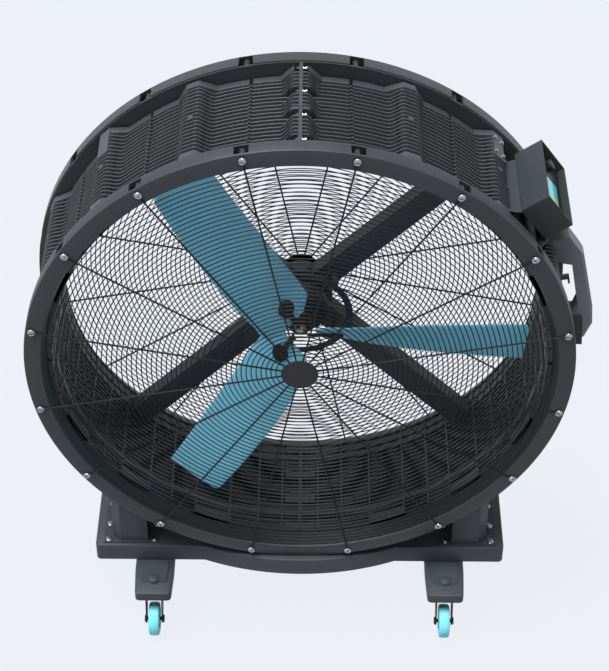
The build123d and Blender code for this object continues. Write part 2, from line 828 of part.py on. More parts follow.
# Foot of the handle: a folded clevis on the side joint of the drum.
with BuildPart() as handle_foot:
    with BuildSketch(across((drum_depth + handle_foot_width) / 2)):
        Polygon(
            (joint_radius + seat_gap, -handle_foot_low),
            (joint_radius + handle_foot_reach, -handle_foot_low),
            (joint_radius + handle_foot_reach - handle_foot_slant, handle_foot_high),
            (joint_radius + seat_gap, handle_foot_high),
            align=None,
        )
    extrude(amount=handle_foot_width)
    with BuildSketch(across((drum_depth + handle_width) / 2 + seat_gap)):
        with Locations((lower_seat + handle_foot_reach, 0)):
            Rectangle(2 * handle_foot_reach, 4 * handle_foot_high)
    extrude(amount=handle_width + 2 * seat_gap, mode=Mode.SUBTRACT)
save(handle_foot.part, "handle_foot")

# Cable hook: a small square arm with a turned-down tip, on a fin in the valley behind the handle.
hook_angle = (joint_foot_angle + rib_step - bump_foot_angle) / 2
hook_root = valley_radius * math.cos(math.radians(hook_angle - joint_foot_angle)) + seat_gap
hook_end = rim_outer_radius + hook_reach
hook_depth = fin_depths[3] - fin_thickness / 2
with BuildPart() as cable_hook:
    with BuildSketch(across(hook_depth + hook_width / 2)):
        Polygon(
            polar(hook_root, hook_angle, -hook_width / 2),
            polar(hook_end - hook_width / 2, hook_angle, -hook_width / 2),
            polar(hook_end - hook_width / 2, hook_angle, -hook_width / 2 - hook_lip),
            polar(hook_end, hook_angle, -hook_width / 2 - hook_lip),
            polar(hook_end, hook_angle, hook_width / 2),
            polar(hook_root, hook_angle, hook_width / 2),
            align=None,
        )
    extrude(amount=hook_width)
save(cable_hook.part, "cable_hook")
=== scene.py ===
import math

import bmesh
import bpy
from mathutils import Matrix, Vector


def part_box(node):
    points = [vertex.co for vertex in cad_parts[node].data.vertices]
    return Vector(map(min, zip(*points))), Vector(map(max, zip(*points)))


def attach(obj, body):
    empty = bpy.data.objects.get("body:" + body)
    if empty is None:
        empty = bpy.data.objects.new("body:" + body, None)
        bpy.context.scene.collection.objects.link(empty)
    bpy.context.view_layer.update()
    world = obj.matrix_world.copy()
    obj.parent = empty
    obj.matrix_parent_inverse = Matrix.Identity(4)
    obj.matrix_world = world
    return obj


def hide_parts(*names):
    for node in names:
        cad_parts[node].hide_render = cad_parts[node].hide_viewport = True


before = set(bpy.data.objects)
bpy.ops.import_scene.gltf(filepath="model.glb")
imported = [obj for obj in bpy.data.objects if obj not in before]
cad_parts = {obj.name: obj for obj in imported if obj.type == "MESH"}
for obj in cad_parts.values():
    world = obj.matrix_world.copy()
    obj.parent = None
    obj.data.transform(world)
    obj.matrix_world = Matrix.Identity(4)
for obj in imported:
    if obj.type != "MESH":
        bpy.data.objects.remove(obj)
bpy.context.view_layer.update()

# Camera, floor and light.
# The fan stands on a wide pale floor under soft studio light. The camera looks down on it from the
# front, 42 degrees above the horizon, through a long lens.
photo_height = 671
focal_pixels = 1935.2
sensor_mm = 36.0
camera_place = Vector((0.0023, -4.1362, 4.6761))
camera_azimuth, camera_elevation, camera_roll = (math.radians(a) for a in (0.333, 42.044, 0.191))

back = Vector((
    math.sin(camera_azimuth) * math.cos(camera_elevation),
    -math.cos(camera_azimuth) * math.cos(camera_elevation),
    math.sin(camera_elevation),
))
level = Vector((math.cos(camera_azimuth), math.sin(camera_azimuth), 0))
upright = back.cross(level)
right = level * math.cos(camera_roll) + upright * math.sin(camera_roll)
up = upright * math.cos(camera_roll) - level * math.sin(camera_roll)
camera = bpy.data.objects.new("camera", bpy.data.cameras.new("camera"))
camera.data.sensor_width = sensor_mm
camera.data.lens = sensor_mm * focal_pixels / photo_height
camera.data.clip_end = 200
camera.matrix_world = Matrix((right, up, back)).transposed().to_4x4()
camera.location = camera_place
bpy.context.scene.collection.objects.link(camera)
bpy.context.scene.camera = camera
bpy.context.scene.view_settings.view_transform = "Standard"


def srgb(red, green, blue):
    """Linear colour of a display colour given in steps of 255."""
    steps = (red / 255, green / 255, blue / 255)
    return tuple(s / 12.92 if s < 0.04045 else ((s + 0.055) / 1.055) ** 2.4 for s in steps) + (1.0,)


def add(tree, kind, feeds=None, **settings):
    """New node of a tree; each of its inputs gets a value, or the socket that feeds it."""
    node = tree.nodes.new(kind)
    for name, value in settings.items():
        setattr(node, name, value)
    for name, value in (feeds or {}).items():
        if isinstance(value, bpy.types.NodeSocket):
            tree.links.new(value, node.inputs[name])
        else:
            node.inputs[name].default_value = value
    return node


def maths(tree, operation, first, second):
    """Output of one sum of two numbers in a tree."""
    return add(tree, "ShaderNodeMath", {0: first, 1: second}, operation=operation).outputs[0]


def seen_directly(tree):
    """Socket that is 1 for rays from the camera, from a mirror or through glass."""
    path = add(tree, "ShaderNodeLightPath").outputs
    unbent = maths(tree, "MAXIMUM", path["Is Camera Ray"], path["Is Glossy Ray"])
    return maths(tree, "MAXIMUM", unbent, path["Is Transmission Ray"])


backdrop_colour = srgb(241, 245, 251)
floor_colour = srgb(137, 139, 143)
floor_glow = 0.92
floor_material = bpy.data.materials.new("studio_floor")
floor_material.use_nodes = True
tree = floor_material.node_tree
tree.nodes.clear()
shadowed = add(tree, "ShaderNodeBsdfDiffuse", {"Color": floor_colour})
glow = add(tree, "ShaderNodeEmission", {"Color": backdrop_colour})
share = maths(tree, "MULTIPLY", seen_directly(tree), floor_glow)
mix = add(tree, "ShaderNodeMixShader", {0: share, 1: shadowed.outputs[0], 2: glow.outputs[0]})
add(tree, "ShaderNodeOutputMaterial", {"Surface": mix.outputs[0]})

floor_reach = 30.0
floor_mesh = bpy.data.meshes.new("floor")
corners = [(-floor_reach, -floor_reach, 0), (floor_reach, -floor_reach, 0)]
corners += [(floor_reach, floor_reach, 0), (-floor_reach, floor_reach, 0)]
floor_mesh.from_pydata(corners, [], [(0, 1, 2, 3)])
floor_mesh.materials.append(floor_material)
floor = bpy.data.objects.new("floor", floor_mesh)
bpy.context.scene.collection.objects.link(floor)

sky_colour, sky_strength = (0.94, 0.97, 1.0, 1.0), 0.30
world = bpy.data.worlds.new("studio")
bpy.context.scene.world = world
world.use_nodes = True
tree = world.node_tree
tree.nodes.clear()
sky = add(tree, "ShaderNodeBackground", {"Color": sky_colour, "Strength": sky_strength})
backdrop = add(tree, "ShaderNodeBackground", {"Color": backdrop_colour})
mix = add(tree, "ShaderNodeMixShader", {0: seen_directly(tree), 1: sky.outputs[0], 2: backdrop.outputs[0]})
add(tree, "ShaderNodeOutputWorld", {"Surface": mix.outputs[0]})


def softbox(name, strength, spread, towards):
    """A far soft lamp that shines along a direction; a strength of pi shows a colour as written."""
    lamp = bpy.data.objects.new(name, bpy.data.lights.new(name, "SUN"))
    lamp.data.energy = strength
    lamp.data.angle = math.radians(spread)
    lamp.rotation_mode = "QUATERNION"
    lamp.rotation_quaternion = Vector(towards).to_track_quat("-Z", "Y")
    bpy.context.scene.collection.objects.link(lamp)


softbox("overhead_softbox", 4.8, 40, (0.24, 0.10, -1.0))
softbox("front_softbox", 0.12, 60, (0.20, 1.0, -0.30))
softbox("left_softbox", 0.85, 60, (1.0, 0.05, -0.10))


# Drum rims.
# Two moulded plastic hoops in satin charcoal, channel shaped and open towards the louvred panels.
# The outer wall has a deep notch at each screw, with the screw's boss inside it.
low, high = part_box("front_rim")
axis_x, axis_z = (low.x + high.x) / 2, (low.z + high.z) / 2
front_y = low.y
rim_radius = (high.x - low.x) * 500
drum_depth = (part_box("rear_rim")[1].y - front_y) * 1000
sharp_angle = math.radians(35)


def beside(angle):
    """Placer at one angle of the drum, in mm: out from its axis, sideways round it, and depth."""
    turn = math.radians(angle)

    def place(out, sideways, depth):
        across = out * math.cos(turn) - sideways * math.sin(turn)
        rise = out * math.sin(turn) + sideways * math.cos(turn)
        return Vector((axis_x + across / 1000, front_y + depth / 1000, axis_z + rise / 1000))

    return place


def from_rear(place):
    """The same placer with its depth counted forward from the rear face of the drum."""
    return lambda out, sideways, depth: place(out, sideways, drum_depth - depth)


def skin(mesh, rows, ring=False):
    """Faces between rows of points, each row a closed loop; ring joins the last row to the first."""
    loops = [[mesh.verts.new(point) for point in row] for row in rows]
    for one, two in zip(loops, loops[1:] + loops[:1] if ring else loops[1:]):
        count = len(one)
        for k in range(count):
            mesh.faces.new((one[k], one[(k + 1) % count], two[(k + 1) % count], two[k]))
    if not ring:
        mesh.faces.new(loops[0][::-1])
        mesh.faces.new(loops[-1])


def surface(name, colour, roughness, metallic=0.0, mottle=0.10, grain=600.0, relief=0.0002, shine=0.2):
    """Procedural finish: soft patches of colour, fine grain, uneven gloss and a shallow relief."""
    material = bpy.data.materials.new(name)
    material.use_nodes = True
    tree = material.node_tree
    shader = tree.nodes["Principled BSDF"]
    shader.inputs["Metallic"].default_value = metallic
    shader.inputs["Specular IOR Level"].default_value = shine
    place = add(tree, "ShaderNodeTexCoord").outputs["Object"]
    patches = add(tree, "ShaderNodeTexNoise", {"Vector": place, "Scale": 6.0, "Detail": 4.0})
    specks = add(tree, "ShaderNodeTexNoise", {"Vector": place, "Scale": grain, "Detail": 2.0})
    ramp = add(tree, "ShaderNodeValToRGB", {"Fac": patches.outputs["Fac"]})
    for stop, place_on_ramp, tone in zip(ramp.color_ramp.elements, (0.3, 0.7), (1 - mottle, 1 + mottle)):
        stop.position = place_on_ramp
        stop.color = (*(min(c * tone, 1) for c in colour[:3]), 1)
    tree.links.new(ramp.outputs["Color"], shader.inputs["Base Color"])
    gloss = add(tree, "ShaderNodeMapRange", {
        "Value": specks.outputs["Fac"], "From Min": 0.3, "From Max": 0.7,
        "To Min": roughness - 0.07, "To Max": roughness + 0.07,
    })
    tree.links.new(gloss.outputs["Result"], shader.inputs["Roughness"])
    bump = add(tree, "ShaderNodeBump", {"Height": specks.outputs["Fac"], "Distance": relief})
    tree.links.new(bump.outputs["Normal"], shader.inputs["Normal"])
    return material


def finished(name, mesh):
    """Mesh data of a shape, with its faces pointing outwards and smooth up to its sharp edges."""
    bmesh.ops.recalc_face_normals(mesh, faces=mesh.faces)
    data = bpy.data.meshes.new(name)
    mesh.to_mesh(data)
    mesh.free()
    data.shade_smooth()
    data.set_sharp_from_angle(angle=sharp_angle)
    return data


def fit(name, mesh, material, nodes=(), body="root", rounding=0.0):
    """Object of a mesh, on its body and in the place of the CAD nodes that it stands for."""
    data = finished(name, mesh)
    data.materials.append(material)
    piece = bpy.data.objects.new(name, data)
    bpy.context.scene.collection.objects.link(piece)
    if rounding:
        edges = piece.modifiers.new("rounded_edges", "BEVEL")
        edges.width = rounding / 1000
        edges.segments = 2
        edges.limit_method = "ANGLE"
        edges.angle_limit = sharp_angle
        edges.harden_normals = True
    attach(piece, body)
    if nodes:
        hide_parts(*nodes)


rim_depth, rim_fillet, rim_wall, rim_plate = 46.0, 4.5, 7.0, 8.0
rim_opening, rim_throat, rim_flat = 715.0, 702.0, 740.0
notch_mouth, notch_floor, notch_deep = 20.0, 19.0, 37.0
columns_between_notches = 12
screw_count = 16
screw_step = 360 / screw_count
screw_radius, boss_radius = 745.0, 9
screw_angles = [screw_step * (k + 0.5) for k in range(screw_count)]
rim_plastic = surface("satin_charcoal_rim", srgb(53, 56, 59), 0.44, shine=0.3)

for name, turned in (("front_rim", beside), ("rear_rim", lambda angle: from_rear(beside(angle)))):
    mesh = bmesh.new()
    rows = []
    mouth, foot = (math.degrees(half / rim_radius) for half in (notch_mouth, notch_floor))
    plain = (screw_step - 2 * mouth) / columns_between_notches
    columns = [(-mouth, rim_depth), (-foot, rim_depth - notch_deep)]
    columns += [(foot, rim_depth - notch_deep), (mouth, rim_depth)]
    columns += [(mouth + plain * (k + 1), rim_depth) for k in range(columns_between_notches - 1)]
    for screw_angle in screw_angles:
        for offset, wall_end in columns:
            place = turned(screw_angle + offset)
            section = [
                (rim_opening + 1, 0), (rim_flat, 0), (rim_radius - 1.5, rim_fillet),
                (rim_radius, rim_fillet + 2.5), (rim_radius, wall_end), (rim_radius - rim_wall, wall_end),
                (rim_radius - rim_wall, rim_plate), (rim_opening + rim_wall, rim_plate),
                (rim_opening + rim_wall, rim_depth), (rim_throat, rim_depth),
                (rim_opening - 0.8, 3),
            ]
            rows.append([place(out, 0, depth) for out, depth in section])
    skin(mesh, rows, ring=True)
    for screw_angle in screw_angles:
        place = turned(screw_angle)
        turns = [a * math.pi / 6 for a in range(12)]
        boss = [(boss_radius * math.cos(turn), boss_radius * math.sin(turn)) for turn in turns]
        skin(mesh, [[place(screw_radius + u, v, depth) for u, v in boss] for depth in (7, rim_depth - 4)])
    fit(name + "_hoop", mesh, rim_plastic, [name], rounding=1.2)


# Louvred panels.
# Four moulded quarters of the drum's wall: thin fins that step over the raised ribs and over the
# bolted joints. Each quarter has a flange at both ends, a broad ledge near the rear and ribs inside.
joint_radius, bump_radius, valley_radius, inner_radius = 760.0, 757.5, 724.5, 690.0
joint_top, joint_foot = 17.0, 55.0
bump_top, bump_foot = 17.0, 58.0
bump_angles = (22.5, 45.0, 67.5)
fin_thickness, fin_edge = 5.0, 2.5
fin_first, fin_pitch, fin_count = 60.5, 16.36, 19
bolt_first, bolt_pitch, bolt_count = 63.0, 106.0, 4
short_before, short_zone, short_start = 6.0, 32.0, 32.0
panel_front, panel_rear, flange = 46.0, 404.0, 5.0
bar_width = 4.8
tick_angles = (10.6, 33.9, 56.1, 79.4)
panel_plastic = surface("satin_charcoal_panel", srgb(57, 60, 63), 0.42, shine=0.4)


def wall_angle(width):
    """Angle that a width in mm takes up on the drum's wall."""
    return math.degrees(width / valley_radius)


def hump(angle, centre, top, foot, straight):
    """Share of a raised rib's height at an angle; it falls from its flat top straight or in an S."""
    away = abs(math.radians(angle - centre)) * valley_radius
    share = min(max((foot - away) / (foot - top), 0), 1)
    if straight:
        return share
    share **= 1.3
    return share * share * (3 - 2 * share)


def fin_radius(angle, over_joints, straight):
    """Outer radius of a fin at an angle of its quarter of the drum."""
    humps = [(bump, bump_radius, bump_top, bump_foot) for bump in bump_angles]
    if over_joints:
        humps += [(joint, joint_radius, joint_top, joint_foot) for joint in (0, 90)]
    rises = [(r - valley_radius) * hump(angle, centre, top, foot, straight) for centre, r, top, foot in humps]
    return valley_radius + sum(rises)


def fin_angles(start, over_joints):
    """Angles at which a fin gets a section: close together on the slopes of its outline."""
    marks = [start]
    if over_joints:
        marks += [wall_angle(joint_top), wall_angle(joint_foot)]
    half = len(marks)
    for bump in bump_angles:
        marks += [bump + wall_angle(w) for w in (-bump_foot, -bump_top, bump_top, bump_foot)]
    marks += [90 - mark for mark in marks[:half][::-1]]
    steps = 6
    angles = [a + (b - a) * k / steps for a, b in zip(marks, marks[1:]) for k in range(steps)]
    return angles + [marks[-1]]


def fin(mesh, angles, over_joints, thickness, depth=0.0, straight=False):
    """One fin with a rounded outer edge, lying across the drum's axis about a depth."""
    half = thickness / 2
    rows = []
    for angle in angles:
        outer = fin_radius(angle, over_joints, straight)
        section = [(inner_radius, -half), (outer - 0.9 * fin_edge, -half)]
        section += [(outer - 0.25 * fin_edge, -half + 0.3 * fin_edge)]
        section += [(outer, fin_edge - half), (outer, half - fin_edge)] if half > fin_edge else [(outer, 0)]
        section += [(outer - 0.25 * fin_edge, half - 0.3 * fin_edge), (outer - 0.9 * fin_edge, half)]
        section += [(inner_radius, half)]
        place = beside(angle)
        rows.append([place(out, 0, depth + offset) for out, offset in section])
    skin(mesh, rows)


def block(mesh, place, first, second, third):
    """Rectangular block between two values along each of the three ways of a placer."""
    corners = [(first[0], second[0]), (first[1], second[0]), (first[1], second[1]), (first[0], second[1])]
    skin(mesh, [[place(a, b, c) for a, b in corners] for c in third])


def repeated_fin(name, start, over_joints):
    """Hidden fin about depth 0, with a small raised mark near each angle of the rim's screws."""
    mesh = bmesh.new()
    fin(mesh, fin_angles(start, over_joints), over_joints, fin_thickness)
    for angle in tick_angles:
        place = beside(angle)
        corners = [(-3, -2.9), (3, -2.9), (3, 2.9), (-3, 2.9)]
        radii = (inner_radius, valley_radius + 2.5)
        skin(mesh, [[place(out, side, depth) for side, depth in corners] for out in radii])
    return stock(name, mesh)


def stock(name, mesh):
    """Hidden object that holds a shape for a tree to repeat."""
    return bpy.data.objects.new(name, finished(name, mesh))


def new_tree(name, sizes):
    """Geometry Nodes tree with one named input for each size; gives it, its input and its output."""
    tree = bpy.data.node_groups.new(name, "GeometryNodeTree")
    tree.interface.new_socket("Geometry", in_out="OUTPUT", socket_type="NodeSocketGeometry")
    for label, kind in sizes.items():
        tree.interface.new_socket(label, in_out="INPUT", socket_type="NodeSocket" + kind)
    return tree, tree.nodes.new("NodeGroupInput").outputs, tree.nodes.new("NodeGroupOutput").inputs


def close_tree(tree, shape, material, result):
    """End of a tree: instances made real and given their material."""
    real = add(tree, "GeometryNodeRealizeInstances", {0: shape})
    painted = add(tree, "GeometryNodeSetMaterial", {"Geometry": real.outputs[0], "Material": material})
    tree.links.new(painted.outputs[0], result[0])


def grown(tree, sizes, points=()):
    """Plain mesh that a tree makes from its sizes, on points where it starts from some."""
    data = bpy.data.meshes.new(tree.name)
    data.from_pydata(points, [], [])
    holder = bpy.data.objects.new(tree.name, data)
    bpy.context.scene.collection.objects.link(holder)
    modifier = holder.modifiers.new("tree", "NODES")
    modifier.node_group = tree
    for socket in tree.interface.items_tree:
        if socket.in_out == "INPUT" and socket.name in sizes:
            modifier[socket.identifier] = sizes[socket.name]
    bpy.context.view_layer.update()
    shape = bpy.data.meshes.new_from_object(holder.evaluated_get(bpy.context.evaluated_depsgraph_get()))
    holder.modifiers.remove(modifier)
    bpy.data.objects.remove(holder)
    return shape


def along(tree, axis, amount):
    """Vector in a tree with an amount along one axis."""
    return add(tree, "ShaderNodeCombineXYZ", {axis: amount}).outputs[0]


def counted(tree, pitch, first):
    """Value in a tree that grows by a pitch from point to point."""
    index = add(tree, "GeometryNodeInputIndex").outputs[0]
    return maths(tree, "ADD", maths(tree, "MULTIPLY", index, pitch), first)


def depth_row(tree, size):
    """Points of a tree in a row along the drum's depth."""
    return add(tree, "GeometryNodeMeshLine", {
        "Count": size["Count"], "Start Location": along(tree, "Y", size["First Depth"]),
        "Offset": along(tree, "Y", size["Pitch"]),
    }).outputs[0]


def held(tree, holder):
    """Shape of a hidden object, in a tree."""
    return add(tree, "GeometryNodeObjectInfo", {"Object": holder}).outputs["Geometry"]


def copies(tree, points, shape, **feeds):
    """Copies of a shape on the points of a tree."""
    feeds = {"Points": points, "Instance": shape, **feeds}
    return add(tree, "GeometryNodeInstanceOnPoints", feeds).outputs[0]


louvres, size, result = new_tree("louvre_stack", {
    "Tall Fin": "Object", "Short Fin": "Object", "Count": "Int", "First Depth": "Float",
    "Pitch": "Float", "First Bolt": "Float", "Bolt Pitch": "Float", "Short Zone": "Float",
    "Material": "Material",
})
line = depth_row(louvres, size)
this_depth = counted(louvres, size["Pitch"], size["First Depth"])
past_first = maths(louvres, "SUBTRACT", this_depth, size["First Bolt"])
past_bolt = maths(louvres, "FLOORED_MODULO", past_first, size["Bolt Pitch"])
is_short = maths(louvres, "LESS_THAN", past_bolt, size["Short Zone"])
is_tall = maths(louvres, "SUBTRACT", 1.0, is_short)
stacks = [
    copies(louvres, line, held(louvres, size[kind]), Selection=chosen)
    for kind, chosen in (("Tall Fin", is_tall), ("Short Fin", is_short))
]
both = add(louvres, "GeometryNodeJoinGeometry", {0: stacks[0]})
louvres.links.new(stacks[1], both.inputs[0])
close_tree(louvres, both.outputs[0], size["Material"], result)
fins = grown(louvres, {
    "Tall Fin": repeated_fin("tall_fin", 0.3, True),
    "Short Fin": repeated_fin("short_fin", wall_angle(short_start), False), "Count": fin_count,
    "First Depth": fin_first / 1000, "Pitch": fin_pitch / 1000,
    "First Bolt": (bolt_first - short_before) / 1000, "Bolt Pitch": bolt_pitch / 1000,
    "Short Zone": short_zone / 1000, "Material": panel_plastic,
})


def arc_strip(mesh, inner, outer, front, rear):
    """Strip of a quarter of the drum's wall between two radii and two depths."""
    rows = []
    for k in range(49):
        place = beside(90 * k / 48)
        corners = [(inner, front), (outer, front), (outer, rear), (inner, rear)]
        rows.append([place(out, 0, depth) for out, depth in corners])
    skin(mesh, rows)


ledge_front, ledge_rear, ledge_break = 366.0, 390.0, 0.4
ledge_start = wall_angle(18)
cap_rear, bump_pad_front, bump_pad_half, bump_bridge, band_depth = 79.0, 281.0, 20.0, 232.0, 17.0
panel = bmesh.new()
panel.from_mesh(fins)
ends = [ledge_start, *(a + side * ledge_break for a in tick_angles for side in (-1, 1)), 90 - ledge_start]
for start, end in zip(ends[::2], ends[1::2]):
    between = [start, *(a for a in fin_angles(ledge_start, True) if start < a < end), end]
    fin(panel, between, True, ledge_rear - ledge_front, (ledge_front + ledge_rear) / 2, straight=True)
for front in (panel_rear - flange, panel_front):
    arc_strip(panel, inner_radius, joint_radius, front, front + flange)
for fins_before in (2.5, 17):
    band = fin_first + fins_before * fin_pitch
    arc_strip(panel, inner_radius - 0.5, inner_radius + 9, band, band + band_depth)
for centre in bump_angles:
    foot = wall_angle(bump_foot)
    spread = [centre - foot + 2 * foot * k / 24 for k in range(25)]
    fin(panel, spread, False, cap_rear - panel_front, (panel_front + cap_rear) / 2)
    bridge = (bump_bridge - 6, bump_bridge + 6)
    block(panel, beside(centre), (valley_radius, bump_radius - 1), (-7, 7), bridge)
bump_pad = (-bump_pad_half, bump_pad_half)
block(panel, beside(45), (valley_radius, bump_radius + 0.3), bump_pad, (bump_pad_front, ledge_rear))
rib_angles = [4.6, *tick_angles, 85.4]
rib_angles += [bump + side * wall_angle(bump_foot) for bump in bump_angles for side in (-1, 1)]
for angle in rib_angles:
    rib_radii = (inner_radius - 1.5, inner_radius + 9)
    block(panel, beside(angle), rib_radii, (-2.5, 2.5), (panel_front, panel_rear))
pad = [(inner_radius, 3), (joint_radius, 3), (joint_radius, 16), (joint_radius - 3, 23)]
pad += [(joint_radius - 12, 28), (inner_radius, 29)]
for angle, side in ((0, 1), (90, -1)):
    place = beside(angle)
    block(panel, place, (inner_radius - 2, joint_radius), (0, side * bar_width), (panel_front, panel_rear))
    for fins_before, thickness in ((1, 5), (8, 12), (14, 5)):
        middle = fin_first + fins_before * fin_pitch
        faces = (middle - thickness / 2, middle + thickness / 2)
        skin(panel, [[place(out, side * u, depth) for out, u in pad] for depth in faces])
    for k in range(bolt_count):
        bolt = bolt_first + bolt_pitch * k
        recess_floor = (bolt - 12, min(bolt + 22, panel_rear))
        block(panel, place, (inner_radius, inner_radius + 8), (side * 3, side * 46), recess_floor)
quarter_mesh = bpy.data.meshes.new("panel_quarter")
panel.to_mesh(quarter_mesh)
panel.free()
about = Matrix.Translation(Vector((axis_x, 0, axis_z)))
for name, quarter in (("top_right", 0), ("top_left", 90), ("bottom_left", 180), ("bottom_right", 270)):
    mesh = bmesh.new()
    mesh.from_mesh(quarter_mesh)
    turn = Matrix.Rotation(math.radians(-quarter), 4, "Y")
    bmesh.ops.transform(mesh, matrix=about @ turn @ about.inverted(), verts=mesh.verts)
    fit("louvres_" + name, mesh, panel_plastic, ["panel_" + name])


# Screws of the rims and bolts of the panel joints.
# Slotted round-headed screws of bright steel hold each rim, the guards' spokes and the panels
# together. Plated bolts with nuts pass through the bars of each panel joint.
bright_steel = surface("bright_steel", srgb(160, 161, 164), 0.24, 1.0, mottle=0.05, grain=900, relief=0.00005)
dark_steel = surface("dark_steel", srgb(44, 46, 48), 0.45, 0.2, grain=700, relief=0.0001)


def lathe(mesh, place, profile, sides, ring=False, start=0.0, sweep=360.0):
    """Turned shape about a placer's third way; its profile is pairs of radius and height."""
    count = sides if sweep == 360 else sides + 1
    turns = [math.radians(start + sweep * k / sides) for k in range(count)]
    rows = [[place(r * math.cos(t), r * math.sin(t), h) for t in turns] for r, h in profile]
    skin(mesh, rows, ring)


def turned_piece(name, place, profile, sides, material, nodes, body="root", ring=False):
    """Piece that is one turned shape, in the place of its CAD nodes."""
    mesh = bmesh.new()
    lathe(mesh, place, profile, sides, ring)
    fit(name, mesh, material, nodes, body)


def local(first, second, third):
    """Placer of a shape made about the origin, in mm."""
    return Vector((first / 1000, second / 1000, third / 1000))


def tilted(tree, shape, axis, angle):
    """A tree's shape turned about an axis."""
    feeds = {"Geometry": shape, "Rotation": along(tree, axis, angle)}
    return add(tree, "GeometryNodeTransform", feeds).outputs[0]


def moved(shape, depth):
    """A mesh from a tree as a bmesh, moved to the drum's axis at a depth in mm."""
    mesh = bmesh.new()
    mesh.from_mesh(shape)
    bmesh.ops.translate(mesh, verts=mesh.verts, vec=Vector((axis_x, front_y + depth / 1000, axis_z)))
    return mesh


slot_half, slot_depth = 1.8, 2.4
mesh = bmesh.new()
lathe(mesh, local, [(10.6, 0), (10.6, 1.0), (9.8, slot_depth)], 20)
dome = [(9.4, slot_depth - 0.2), (8.6, 3.7), (6.2, 5.0), (3.0, 5.7), (0.3, 5.9)]
for side, start in ((-1, 180), (1, 0)):
    half_placer = lambda u, v, w, side=side: local(u, v + side * slot_half, w)
    lathe(mesh, half_placer, dome, 10, start=start, sweep=180)
rim_screw = stock("rim_screw", mesh)

screw_circle, size, result = new_tree("screw_circle", {
    "Screw": "Object", "Count": "Int", "Radius": "Float", "Tilt": "Float", "Seed": "Int",
    "Material": "Material",
})
circle = add(screw_circle, "GeometryNodeMeshCircle", {"Vertices": size["Count"], "Radius": size["Radius"]})
twist = add(screw_circle, "FunctionNodeRandomValue", {"Seed": size["Seed"]}, data_type="FLOAT")
twist.inputs[3].default_value = math.pi
turn = along(screw_circle, "Z", twist.outputs[1])
heads = copies(screw_circle, circle.outputs[0], held(screw_circle, size["Screw"]), Rotation=turn)
stepped = tilted(screw_circle, heads, "Z", maths(screw_circle, "DIVIDE", math.pi, size["Count"]))
close_tree(screw_circle, tilted(screw_circle, stepped, "X", size["Tilt"]), size["Material"], result)

spoke_wire = 5.0
quarter_turn = math.pi / 2
for name, tilt_angle, depth, seed in (
    ("front_rim_screws", quarter_turn, -0.4 * spoke_wire, 3),
    ("rear_rim_screws", -quarter_turn, drum_depth + 0.4 * spoke_wire, 8),
):
    shape = grown(screw_circle, {
        "Screw": rim_screw, "Count": screw_count, "Radius": screw_radius / 1000,
        "Tilt": tilt_angle, "Seed": seed, "Material": bright_steel,
    })
    fit(name, moved(shape, depth), bright_steel)

joint_bolt_radius = 752.0
bolt_rows, size, result = new_tree("joint_bolt_rows", {
    "Bolt": "Object", "Count": "Int", "First Depth": "Float", "Pitch": "Float", "Joints": "Int",
    "Material": "Material",
})
row = copies(bolt_rows, depth_row(bolt_rows, size), held(bolt_rows, size["Bolt"]))
joints = add(bolt_rows, "GeometryNodePoints", {"Count": size["Joints"]}).outputs[0]
step = maths(bolt_rows, "DIVIDE", -2 * math.pi, size["Joints"])
rows_round = copies(bolt_rows, joints, row, Rotation=along(bolt_rows, "Y", counted(bolt_rows, step, 0.0)))
close_tree(bolt_rows, rows_round, size["Material"], result)

bolt_profile = [(7.5, -0.5), (7.5, 1.5), (3.6, 1.6), (3.6, 6), (6.6, 6.2), (6.6, 11), (5.2, 12)]
nut_profile = [(7.0, -0.5), (7.0, 1.2), (6.2, 1.3), (6.2, 5.5), (3.2, 5.6), (3.2, 9), (2.6, 9.6)]
for name, side, profile, sides, material, slot in (
    ("joint_bolt", -1, bolt_profile, 12, bright_steel, "bright_steel"),
    ("joint_nut", 1, nut_profile, 6, dark_steel, "bracket_bolts"),
):
    mesh = bmesh.new()
    through_bars = lambda u, v, w, side=side: local(joint_bolt_radius + u, v, side * (bar_width + w))
    lathe(mesh, through_bars, profile, sides)
    rows_mesh = grown(bolt_rows, {
        "Bolt": stock(name, mesh), "Count": bolt_count, "First Depth": bolt_first / 1000,
        "Pitch": bolt_pitch / 1000, "Joints": 4, "Material": material,
    })
    fit(name + "s", moved(rows_mesh, 0), material)


# Wire guards.
# Front and rear guards of black coated steel wire: closely spaced rings welded behind sixteen
# spokes, which end flat over the rim under its screws, and a pressed disc at the middle.
ring_wire, ring_first, ring_pitch, ring_count = 3.3, 65.8, 13.8, 47
ring_steps, ring_sides, spoke_sides = 176, 6, 8
spoke_start, spoke_end = 30.0, 752.0
disc_radius = 52.0
guard_wire = surface("black_coated_wire", srgb(20, 21, 23), 0.42, mottle=0.08, grain=800, relief=0.0001)
guard_disc = surface("charcoal_disc", srgb(46, 48, 50), 0.52, mottle=0.08, grain=700)


def close_wires(tree, curves, size, result):
    """End of a tree of wires: its curves get a round section, turn to face the front, and are closed."""
    real = add(tree, "GeometryNodeRealizeInstances", {0: curves})
    section = add(tree, "GeometryNodeCurvePrimitiveCircle", {
        "Resolution": size["Wire Sides"], "Radius": size["Wire Radius"],
    })
    feeds = {"Curve": real.outputs[0], "Profile Curve": section.outputs[0], "Fill Caps": True}
    wires = add(tree, "GeometryNodeCurveToMesh", feeds).outputs[0]
    close_tree(tree, tilted(tree, wires, "X", size["Tilt"]), size["Material"], result)


